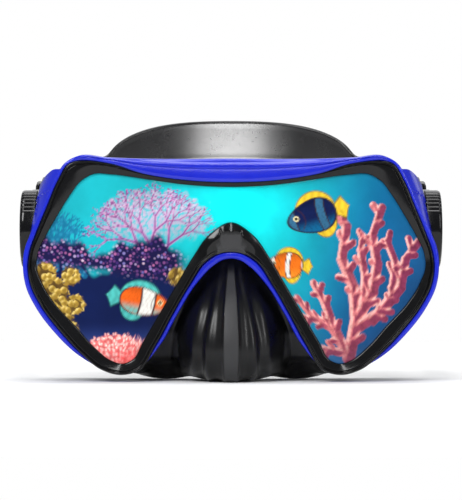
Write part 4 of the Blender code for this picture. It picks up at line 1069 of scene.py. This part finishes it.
lift = BASE / MM - 7.6
seats = (glass_edge + outward(glass_edge) * SEAT_STEP)[::SPAN] / MM - (0, lift)
profiles = np.array([skirt_profile(i, seats[i]) for i in range(len(OUTLINE))])
profiles = np.vstack([profiles, profiles[-2:0:-1] * (-1, 1, 1)])
SKIRT_SPAN, SKIRT_STEPS = 16, 6
around = smooth(profiles.reshape(len(profiles), -1), SKIRT_SPAN).reshape(-1, 9, 3)
skirt_mid = smooth(around.transpose(1, 0, 2).reshape(9, -1), SKIRT_STEPS, False).reshape(-1, len(around), 3)
skirt_mid = skirt_mid + (0, 0, lift)
print("skirt grid", skirt_mid.shape)

# %% [markdown]
# The wall gets its thickness in the same way as the arms', but here it changes: full at the seat,
# thinner towards the lip. The nose pocket is sculpted by moving its wall along its normal: a flat ridge
# with crisp edges down the middle, a hollow on each side of it, and a deep groove that parts the middle
# from the two finger dents. On the cheeks a facet leans out below a sharp crease. The ridge follows the
# grid's own columns, so its edges stay clean.

# %% The skirt's two faces
row_share = np.linspace(0, 1, len(skirt_mid))[:, None]
wall = SKIRT_WALL / MM * (0.5 - 0.22 * ease(row_share, 0.86, 1.0))
skirt_normal = surface_normals(skirt_mid, False, True)
middle_row = skirt_mid[len(skirt_mid) // 2]
if (skirt_normal[len(skirt_mid) // 2] * (middle_row - middle_row.mean(0)))[:, 2].mean() < 0:
    skirt_normal = -skirt_normal
column = np.arange(skirt_mid.shape[1]) / SKIRT_SPAN
from_middle = abs(column - (len(OUTLINE) - 1))[None, :]  # stations away from the nose's middle
sx, sd, sz = abs(skirt_mid[..., 0]), skirt_mid[..., 1], skirt_mid[..., 2]
fade = ease(-sz, -49, -45) * ease(row_share, 0.10, 0.16) * ease(-row_share, -0.74, -0.66)
ridge = 0.95 * ease(0.40 - from_middle, 0.0, 0.07) * fade
hollow = -0.7 * np.exp(-(((from_middle - 0.72) / 0.24) ** 2)) * fade
groove_x = 8.6 + 4.2 * ease(-sz, -40, -14)
groove = -1.7 * np.exp(-(((sx - groove_x) / 2.0) ** 2)) * ease(-sz, -46, -34) * ease(-sd, -9, -2)
dent = -0.5 * np.exp(-(((sx - groove_x - 4.8) / 1.6) ** 2))
dent = dent * ease(-sz, -40, -25) * ease(sz, 6, 12) * ease(-sd, -9, -2)
cheek = ease(from_middle, 3.2, 3.6) * ease(-from_middle, -6.6, -5.8)
lean = np.clip((20.4 - sz) / 9.8, 0, 1) * ease(sz, 7.5, 10.6)
facet = 1.1 * lean * cheek * ease(row_share, 0.2, 0.3)
band = 0.4 * (np.exp(-(((row_share - 0.47) / 0.014) ** 2)) + np.exp(-(((row_share - 0.60) / 0.014) ** 2)))
band = band * ease(from_middle, 5.5, 7.0)
carved = skirt_mid + skirt_normal * (hollow + groove + dent)[..., None]
outer_face = carved + skirt_normal * (wall + ridge + facet + band)[..., None]
inner_face = carved - skirt_normal * wall[..., None]
REST_SOFTNESS = 0.3  # mm; where the skirt rests it flattens softly on the table
outer_face[..., 2] = 0.5 * (outer_face[..., 2] + np.sqrt(outer_face[..., 2] ** 2 + REST_SOFTNESS**2))


def to_metres(points):
    """Points (x, depth behind the glass, height) in mm, in the frame's metres."""
    return np.stack([points[..., 0] * MM, GLASS_Y + points[..., 1] * MM, points[..., 2] * MM], -1)


seat_edge = np.stack([inner_face[0], outer_face[0]])
lip_edge = np.stack([outer_face[-1], skirt_mid[-1] + (skirt_mid[-1] - skirt_mid[-2]) * 0.35, inner_face[-1]])
skirt = add_piece(
    "skirt",
    [
        (to_metres(outer_face), False, True),
        (to_metres(inner_face), False, True),
        (to_metres(seat_edge), False, True),
        (to_metres(lip_edge), False, True),
    ],
    silicone,
    "mask",
    ["skirt"],
    sharp=50,
    close_ends=False,
)


# %% [markdown]
# The skirt is glossy silicone, with two satin places that also get a lighter grey painted in as a
# highlight: the face of the nose ridge and the upper cheeks, which lean towards the light.


# %% The skirt's satin places and painted highlights
def skirt_highlight_share(spots):
    """Where the skirt is satin with a painted highlight: 1 on the nose ridge's face and on the cheeks' upper
    facets, 0 elsewhere.
    """
    x, depth, z = abs(spots[:, 0]) / MM, (spots[:, 1] - GLASS_Y) / MM, spots[:, 2] / MM
    half = np.interp(z, [0, 14, 34, 50], [2.8, 3.2, 2.4, 1.4])
    on_ridge = ease(half - x, -0.25, 0.35) * ease(-depth, -9, -7.5) * ease(-z, -50, -46)
    on_cheek = ease(x, 18.5, 20.5) * ease(-x, -40, -36) * ease(z, 10.2, 11.0) * ease(-z, -20.8, -20.2)
    return np.clip(on_ridge * 0.8 + on_cheek * 0.9 * (depth > 8.5) * (depth < 30), 0, 1)


add_satin_highlight(skirt, skirt_highlight_share)

# %% [markdown]
# ## The strap
# One silicone band: wide and split at the back of the head, narrow towards the buckles, round a roller
# on each side and folded back as a tail. Its middle line is drawn in plan, its half height changes
# along the line, and its thickness closes to nothing at every edge as a quarter circle does, so that
# each edge is round.

# %% The strap's line and its surface
STRAP_THICKNESS = 2.0 * MM
STRAP_HALF = 9.5 * MM
ROLLER_RADIUS = 2.0 * MM
GAP = 0.3 * MM
STRAIGHT_END, STRAP_BACK, PLAN_POWER = 66.0 * MM, 146.0 * MM, 2.2
PAD_HALF_HEIGHT, PAD_HALF_LENGTH, PAD_POWER = 23.0 * MM, 60.0 * MM, 3.0
SLOT_LENGTH, SLOT_HEIGHT = 36.0 * MM, 4.0 * MM
TAIL_GAP, TAIL_END = 0.4 * MM, 76.0 * MM
KEEPER_Y, KEEPER_LENGTH, BUCKLE_REAR = 50.0 * MM, 7.0 * MM, 28.0 * MM
TAIL_FLARE = 0.2 * MM  # past the keeper the tail leans out by this much
across_axis = np.cross(np.array([1.0, 0, 0]), strap_axis)  # the strap's own upward direction


def to_strap(points):
    """Points (x, y, z) measured from the swivel along the strap's own tilted axes, in the row's frame."""
    sideways = points[..., :1] * np.array([1.0, 0, 0])
    return swivel + sideways + points[..., 1:2] * strap_axis + points[..., 2:3] * across_axis


def in_strap_axes(point):
    """A point of the row's frame measured from the swivel along the strap's axes."""
    offset = np.array(point) - swivel
    return np.array([offset[0], offset @ strap_axis, offset @ across_axis])


roller_at = in_strap_axes(joints["roller_spin_right"]["pos_m"])


def strap_line():
    """The right half of the middle line, (x, y): a superellipse behind the head, a straight run, a turn
    of half a circle round the roller, an S past the buckle's bar and a straight tail."""
    wrap = ROLLER_RADIUS + GAP + STRAP_THICKNESS / 2
    inner_x, outer_x = roller_at[0] - wrap, roller_at[0] + wrap
    t = np.radians(np.linspace(90, 0, 90))
    x = inner_x * np.cos(t) ** (2 / PLAN_POWER)
    y = STRAIGHT_END + (STRAP_BACK - STRAIGHT_END) * np.sin(t) ** (2 / PLAN_POWER)
    straight = np.linspace(STRAIGHT_END, roller_at[1], 22)[1:-1]
    a = np.radians(np.linspace(0, 180, 21))
    tail_x = inner_x + STRAP_THICKNESS + TAIL_GAP
    start, settle = BUCKLE_REAR + 2 * GAP, KEEPER_Y - 1.4 * KEEPER_LENGTH
    s = np.linspace(0, 1, 12)
    xs = [x, np.full(len(straight), inner_x), roller_at[0] - wrap * np.cos(a), np.array([outer_x])]
    ys = [y, straight, roller_at[1] - wrap * np.sin(a), np.array([(roller_at[1] + start) / 2])]
    xs.append(outer_x + (tail_x - outer_x) * (1 - np.cos(np.pi * s)) / 2)
    ys.append(start + (settle - start) * s)
    near_end = TAIL_END - np.array([0.9, 0.5, 0.2, 0.05]) * MM
    run = np.sort(np.concatenate([np.linspace(settle, TAIL_END, 20)[1:], near_end]))
    past = np.clip((run - KEEPER_Y - KEEPER_LENGTH) / (TAIL_END - KEEPER_Y - KEEPER_LENGTH), 0, 1)
    return np.column_stack([np.concatenate(xs + [tail_x + TAIL_FLARE * past]), np.concatenate(ys + [run])])


# %% [markdown]
# The band is swept along that line. Its half height is 9.5 mm at the buckles and grows to the pad
# behind the head, which has a slot. Four grids make it: above and below the slot, inside and outside.
# Near an edge the thickness falls off as a quarter circle does, so that no separate bevel is needed.

# %% The strap's surface
right_line = strap_line()
line = np.vstack([right_line[:0:-1] * (-1, 1), right_line])
tangent = np.gradient(line, axis=0)
tangent /= np.linalg.norm(tangent, axis=1, keepdims=True)
side_way = np.column_stack([-tangent[:, 1], tangent[:, 0]])  # square to the line, in plan
if side_way[len(line) // 2, 1] < 0:
    side_way = -side_way
walked = np.concatenate([[0], np.cumsum(np.linalg.norm(np.diff(line, axis=0), axis=1))])
to_end = np.minimum(walked, walked[-1] - walked)
on_back = line[:, 1] > STRAIGHT_END
pad_run = np.minimum(abs(line[:, 0]) / PAD_HALF_LENGTH, 1)
pad = PAD_HALF_HEIGHT * (1 - pad_run**PAD_POWER) ** (1 / PAD_POWER)
half_height = np.where(on_back, np.maximum(STRAP_HALF, pad), STRAP_HALF)
kernel = np.hanning(7) / np.hanning(7).sum()
middle = slice(20, -20)
half_height[middle] = np.convolve(np.pad(half_height, 3, "edge"), kernel, "valid")[middle]
END_ROUND = 4.0 * MM
end_run = np.maximum(END_ROUND - to_end, 0)
half_height = half_height - END_ROUND + np.sqrt(np.maximum(END_ROUND**2 - end_run**2, 0))
slot_run = np.maximum(abs(line[:, 0]) - (SLOT_LENGTH - SLOT_HEIGHT), 0) / SLOT_HEIGHT
slot_half = np.where(on_back, SLOT_HEIGHT * np.sqrt(np.maximum(1 - slot_run**2, 0)), 0)


def edge_round(distance, radius=1.0 * MM):
    """0 at an edge and 1 from radius inwards, along a quarter circle."""
    return np.sqrt(1 - (1 - np.clip(distance / radius, 0, 1)) ** 2)


near_slot, near_rim = [0, 0.012, 0.03, 0.05, 0.075], [0.925, 0.95, 0.97, 0.988, 1]
q = np.concatenate([near_slot, np.linspace(0.12, 0.88, 10), near_rim])
height = slot_half[:, None] + (half_height - slot_half)[:, None] * q
from_slot, from_edge = height - slot_half[:, None], half_height[:, None] - height
open_slot = ease(slot_half, 0.0, 0.8 * MM)[:, None]
profile = edge_round(from_edge) * (1 - open_slot * (1 - edge_round(from_slot))) * edge_round(to_end)[:, None]
inset = 0.13 * ease(from_edge, 1.3 * MM, 1.9 * MM)
inset = inset * (1 - open_slot * (1 - ease(from_slot, 1.3 * MM, 1.9 * MM)))
rib_zone = ease(half_height, 12 * MM, 16 * MM)[:, None]
rib = 0.10 * rib_zone * np.exp(-(((from_edge - 3.6 * MM) / (0.5 * MM)) ** 2))
half_thick = STRAP_THICKNESS / 2 * profile * (1 - inset)
outer_thick = half_thick + STRAP_THICKNESS / 2 * profile * rib


def strap_face(thick, up):
    """One face of the band, above or below its middle line: line + normal * thickness + up * height."""
    flat = line[:, None] + side_way[:, None] * thick[..., None]
    return to_strap(np.concatenate([flat, up * height[..., None]], -1))


strap_grids = [
    (strap_face(sign * thick, up), False, False)
    for up in (1, -1)
    for sign, thick in ((1, outer_thick), (-1, half_thick))
]
print("strap", round(walked[-1] / MM, 1), "mm long, half height", round(half_height.max() / MM, 1))
add_piece(
    "strap",
    strap_grids,
    strap_silicone,
    "strap_and_buckles",
    ["head_strap"],
    60,
    close_ends=False,
)

# %% [markdown]
# ## The keepers
# A keeper is a small silicone ring that holds the strap's tail. Its path is a rectangle round both
# layers and its profile is a rounded bar.

# %% The keepers
KEEPER_WALL = 1.4 * MM
KEEPER_STEPS = 72  # points round the strap
KEEPER_POWER = 0.22  # how square the path is: 1 is an ellipse and 0 a rectangle


def keeper_grid(side):
    """A rounded bar carried round a rectangle: corners of the path times corners of the profile."""
    low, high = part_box("keeper_right")
    middle = in_strap_axes((np.array(low) + np.array(high)) / 2)
    inner_x = roller_at[0] - ROLLER_RADIUS - GAP - STRAP_THICKNESS - GAP
    wide = STRAP_THICKNESS + TAIL_GAP / 2 + GAP
    centre_x = inner_x + wide
    angle = np.linspace(0, 2 * np.pi, KEEPER_STEPS, endpoint=False)
    circle = np.stack([np.cos(angle), np.sin(angle)], 1)
    way = np.sign(circle) * abs(circle) ** KEEPER_POWER
    inner = way * (wide, STRAP_HALF + GAP)
    outer = way * (wide + KEEPER_WALL, STRAP_HALF + GAP + KEEPER_WALL)
    corners = [(inner, -3.2), (inner, 3.2), (inner * 0.5 + outer * 0.5, 3.5), (outer, 3.1), (outer, 1.4)]
    groove = outer * 0.96 + inner * 0.04
    corners += [(groove, 1.1), (groove, -1.1), (outer, -1.4), (outer, -3.1)]
    corners.append((inner * 0.5 + outer * 0.5, -3.5))
    loops = [
        np.column_stack([c[:, 0] + centre_x, np.full(KEEPER_STEPS, middle[1] + y * MM), c[:, 1] + middle[2]])
        for c, y in corners
    ]
    loops = fillet(np.stack(loops, 1), 0.3 * MM, 3)
    return to_strap(loops) * np.array([side, 1, 1])


for side, hand in ((1, "right"), (-1, "left")):
    add_piece(
        f"tail_keeper_{hand}",
        [(keeper_grid(side), True, True)],
        strap_silicone,
        f"keeper_{hand}",
        [f"keeper_{hand}"],
    )

# %% [markdown]
# ## The buckles
# A buckle turns on its pin at the end of the frame's arm. Its housing is a hollow round cap, cut off
# straight where the strap comes in, with finger ribs above and below and a round opening for the
# release button. A frame behind it holds the roller. The cap is a profile turned round the pin, whose
# outer radius changes with the angle.

# %% The buckle housings
CAP_RADIUS = 17.0 * MM
BUTTON_HOLE, STRAP_SIDE = 6.1 * MM, 13.4 * MM
RIBS, RIB_DEPTH = 48, 0.45 * MM
CAP_STEPS = 6 * RIBS  # points round the cap
CAP_PROFILE = [  # (share from the button's hole to the cap's edge, x in mm, corner radius in mm)
    (1.0, 84.2, 0.3), (1.0, 90.5, 1.6), (0.80, 91.0, 1.0), (0.60, 91.0, 0.15), (0.58, 90.65, 0.15),
    (0.50, 90.65, 0.15), (0.48, 91.0, 0.15), (0.13, 91.0, 0.4), (0.06, 90.4, 0.2), (0.0, 90.3, 0.2),
    (0.0, 89.5, 0.1), (0.84, 89.5, 0.3), (0.84, 84.2, 0.3),
]
REAR_INNER, REAR_OUTER = 84.6 * MM, 88.2 * MM
REAR_HALF, WINDOW_HALF, WINDOW_END = 12.6 * MM, 10.0 * MM, 24.8 * MM


def cap_grid():
    """The cap: CAP_PROFILE turned round the swivel. Its edge is a circle with ribs, held back to the
    strap's side."""
    turn = np.linspace(0, 2 * np.pi, CAP_STEPS, endpoint=False)
    ribbed = ease(abs(np.sin(turn)), 0.60, 0.68) * ease(-abs(np.sin(turn)), -0.995, -0.97)
    edge = CAP_RADIUS - RIB_DEPTH * ribbed * (0.5 - 0.5 * np.cos(turn * RIBS))
    towards = np.maximum(np.cos(turn), 1e-3)
    edge = np.minimum(edge, np.where(np.cos(turn) > 0, STRAP_SIDE / towards, 1.0))
    table = np.array(CAP_PROFILE)
    radius = BUTTON_HOLE + (edge[:, None] - BUTTON_HOLE) * table[None, :, 0]
    x = np.broadcast_to(table[None, :, 1] * MM, radius.shape)
    grid = np.stack([x, radius * np.cos(turn)[:, None], radius * np.sin(turn)[:, None]], -1)
    return to_strap(fillet(grid, table[:, 2] * MM, 5))


# %% [markdown]
# The roller frame and the button are the other two outer pieces of a buckle. The frame is a rounded bar
# between two rectangles; the button is a turned cap with a dished top, which gives a finger its place.


# %% The roller frames and the buttons
def rounded_box(low, high, half, corner, steps=9):
    """A rectangle (y, z) from low to high and half to each side, with quarter circles for corners."""
    arc = np.linspace(0, 0.5 * np.pi, steps)
    parts = []
    for k, (y, z) in enumerate(((high, half), (low, half), (low, -half), (high, -half))):
        way = arc + 0.5 * np.pi * k
        centre = np.array([y - math.copysign(corner, y - (low + high) / 2), z - math.copysign(corner, z)])
        parts.append(centre + corner * np.stack([np.cos(way), np.sin(way)], 1))
    return np.vstack(parts)


def rear_frame_grid():
    """The frame that holds the roller: a rounded bar between the window and the outer outline."""
    outer = rounded_box(9 * MM, BUCKLE_REAR, REAR_HALF, 2.6 * MM)
    inner = rounded_box(STRAP_SIDE, WINDOW_END, WINDOW_HALF, 0.8 * MM)
    corners = [(inner, REAR_INNER), (inner, REAR_OUTER), (outer, REAR_OUTER), (outer, REAR_INNER)]
    loops = [np.column_stack([np.full(len(flat), x), flat]) for flat, x in corners]
    return to_strap(fillet(np.stack(loops, 1), np.array([0.3, 0.5, 0.9, 0.4]) * MM, 4))


def button_grid():
    """The button: a turned cap with a dished top and one ring groove, on its stem."""
    profile = [(88.8, 0, 0), (88.8, 1.6, 0.2), (89.6, 1.6, 0.1), (89.6, 5.8, 0.2), (91.6, 5.8, 0.6)]
    profile += [(91.5, 4.2, 0.2), (91.25, 4.0, 0.1), (91.25, 3.4, 0.1), (91.45, 3.2, 0.1), (91.2, 0, 0)]
    table = np.array(profile)
    turn = np.linspace(0, 2 * np.pi, TURN_STEPS, endpoint=False)[:, None]
    radius = np.broadcast_to(table[None, :, 1], (TURN_STEPS, len(table))) * MM
    x = np.broadcast_to(table[None, :, 0] * MM, radius.shape)
    grid = np.stack([x, radius * np.cos(turn), radius * np.sin(turn)], -1)
    return to_strap(fillet(grid, table[:, 2] * MM, 4))


for side, hand in ((1, "right"), (-1, "left")):
    flip = np.array([side, 1, 1])
    add_piece(
        f"housing_{hand}",
        [(cap_grid() * flip, True, True)],
        black_plastic,
        "strap_and_buckles",
        [f"buckle_housing_{hand}"],
    )
    add_piece(
        f"roller_frame_{hand}",
        [(rear_frame_grid() * flip, True, True)],
        black_plastic,
        "strap_and_buckles",
    )
    add_piece(
        f"button_{hand}",
        [(button_grid() * flip, True, True)],
        black_plastic,
        f"release_button_{hand}",
        [f"release_button_{hand}"],
    )

# %% [markdown]
# The plates, pawls, rollers, axles, springs, screws and pins keep their own shapes from the mechanical
# model and only get their finish.

# %% Finishes for the carried-over parts
STEEL_PARTS = ("pivot", "plate_screw", "pawl_pin", "roller_axle", "return_spring", "strap_roller")
for name, node in frame["nodes"].items():
    if name.startswith(("buckle_plate", "pawl_right", "pawl_left")):
        node.data.materials.clear()
        node.data.materials.append(black_plastic)
    elif name.startswith(STEEL_PARTS):
        node.data.materials.clear()
        node.data.materials.append(steel)

# %% [markdown]
# ## Floor, light and camera
# A wide pale floor under a white sky, soft lights, and a long lens far in front of the mask. What the
# camera sees of the sky is white; the sky that lights and is mirrored in the mask is dimmer, so that
# black parts stay black.


# %% The studio
FLOOR_REACH = 0.55
angles = np.linspace(0, 2 * np.pi, 64, endpoint=False)
floor_points = np.stack([np.cos(angles), np.sin(angles), angles * 0], 1) * FLOOR_REACH
floor_mesh = bpy.data.meshes.new("floor")
floor_mesh.from_pydata(floor_points.tolist(), [], [list(range(len(angles)))])
floor = bpy.data.objects.new("floor", floor_mesh)
bpy.context.scene.collection.objects.link(floor)
pale = bpy.data.materials.new("pale_floor")
pale.use_nodes = True
tree = pale.node_tree
floor_place = add_node(tree, "ShaderNodeTexCoord").outputs["Object"]
paper = add_node(tree, "ShaderNodeTexNoise", Vector=floor_place, Scale=900.0, Detail=2.0)
shader = tree.nodes["Principled BSDF"]
tree.links.new(ramp(tree, paper.outputs[0], [(0.3, 0.86), (0.7, 0.89)]), shader.inputs["Base Color"])
shader.inputs["Roughness"].default_value = 0.8
shader.inputs["Specular IOR Level"].default_value = 0.1
floor_mesh.materials.append(pale)

# %% [markdown]
# The sky is two backgrounds. A camera ray sees plain white, and every other ray sees a dim, slightly
# blue sky. One sky for both would be simpler, but a white one fills glossy black parts with grey.

# %% The sky
world = bpy.data.worlds.new("studio")
world.use_nodes = True
bpy.context.scene.world = world
sky = world.node_tree
seen = sky.nodes["Background"]
seen.inputs["Color"].default_value = (1, 1, 1, 1)
seen.inputs["Strength"].default_value = 1.0
lit = add_node(sky, "ShaderNodeBackground", Strength=0.26)
lit.inputs["Color"].default_value = (0.92, 0.95, 1.0, 1)
which = add_node(sky, "ShaderNodeLightPath").outputs["Is Camera Ray"]
choose = sky.nodes.new("ShaderNodeMixShader")
sky.links.new(which, choose.inputs[0])
sky.links.new(lit.outputs[0], choose.inputs[1])
sky.links.new(seen.outputs[0], choose.inputs[2])
sky.links.new(choose.outputs[0], sky.nodes["World Output"].inputs["Surface"])


# %% [markdown]
# Studio pictures of glossy parts use a few large soft lamps, because a lamp is seen as a shape in the
# gloss. A tall narrow one draws a line down each curve, a wide one fills a flat face. The small lamp
# behind the window lights the middle of the strap only, and its narrow spread keeps it off the skirt.


# %% The lights
def soft_light(name, place, aim, width, height, power, spread):
    """A rectangular light at a place, turned towards aim; spread is the angle it shines into, in
    degrees."""
    lamp = bpy.data.lights.new(name, "AREA")
    lamp.shape = "RECTANGLE"
    lamp.size, lamp.size_y = width, height
    lamp.energy = power
    lamp.spread = math.radians(spread)
    holder = bpy.data.objects.new(name, lamp)
    bpy.context.scene.collection.objects.link(holder)
    holder.location = place
    holder.rotation_euler = (Vector(aim) - Vector(place)).to_track_quat("-Z", "Y").to_euler()


LIGHTS = {  # name: place, aim, width, height, power, spread
    "key": ((-0.55, -0.9, 0.75), (0, 0, 0.05), 0.35, 0.5, 8, 180),
    "fill": ((0.75, -0.8, 0.45), (0, 0, 0.05), 0.12, 0.7, 3.5, 180),
    "front": ((0.0, -0.66, 0.62), (0, -0.08, 0.03), 0.045, 0.9, 2.2, 180),
    "top": ((0, 0.1, 1.1), (0, 0, 0.05), 0.9, 0.35, 7, 180),
    "back": ((0.1, 0.75, 0.7), (0, 0.3, 0.2), 1.8, 1.0, 5, 180),
    "strap": ((0.0, -0.02, 0.035), (0, 0.09, 0.11), 0.03, 0.09, 0.13, 110),
}
for name, numbers in LIGHTS.items():
    soft_light(name, *numbers)
print("lights", list(LIGHTS))

# %% [markdown]
# The camera stands straight in front at the height of the glass, far enough away that the picture is
# almost without perspective. Its shift moves the picture up without tilting the camera, so upright
# edges stay upright.

# %% The camera
EYE_HEIGHT = 0.050
DISTANCE = 1.2
camera = bpy.data.objects.new("camera", bpy.data.cameras.new("camera"))
bpy.context.scene.collection.objects.link(camera)
camera.location = (0, GLASS_Y - DISTANCE, EYE_HEIGHT)
camera.rotation_euler = (math.radians(90), 0, 0)
camera.data.sensor_fit = "HORIZONTAL"
camera.data.sensor_width = 36
SEEN_WIDTH = 0.196
camera.data.lens = 36 * DISTANCE / SEEN_WIDTH
SEEN_CENTRE = 0.056  # the height at the middle of the picture
camera.data.shift_y = (SEEN_CENTRE - EYE_HEIGHT) / SEEN_WIDTH
camera.data.clip_start = 0.01
bpy.context.scene.camera = camera
bpy.context.scene.view_settings.view_transform = "Standard"
print("camera", [round(c, 3) for c in camera.location], "lens", round(camera.data.lens, 1))
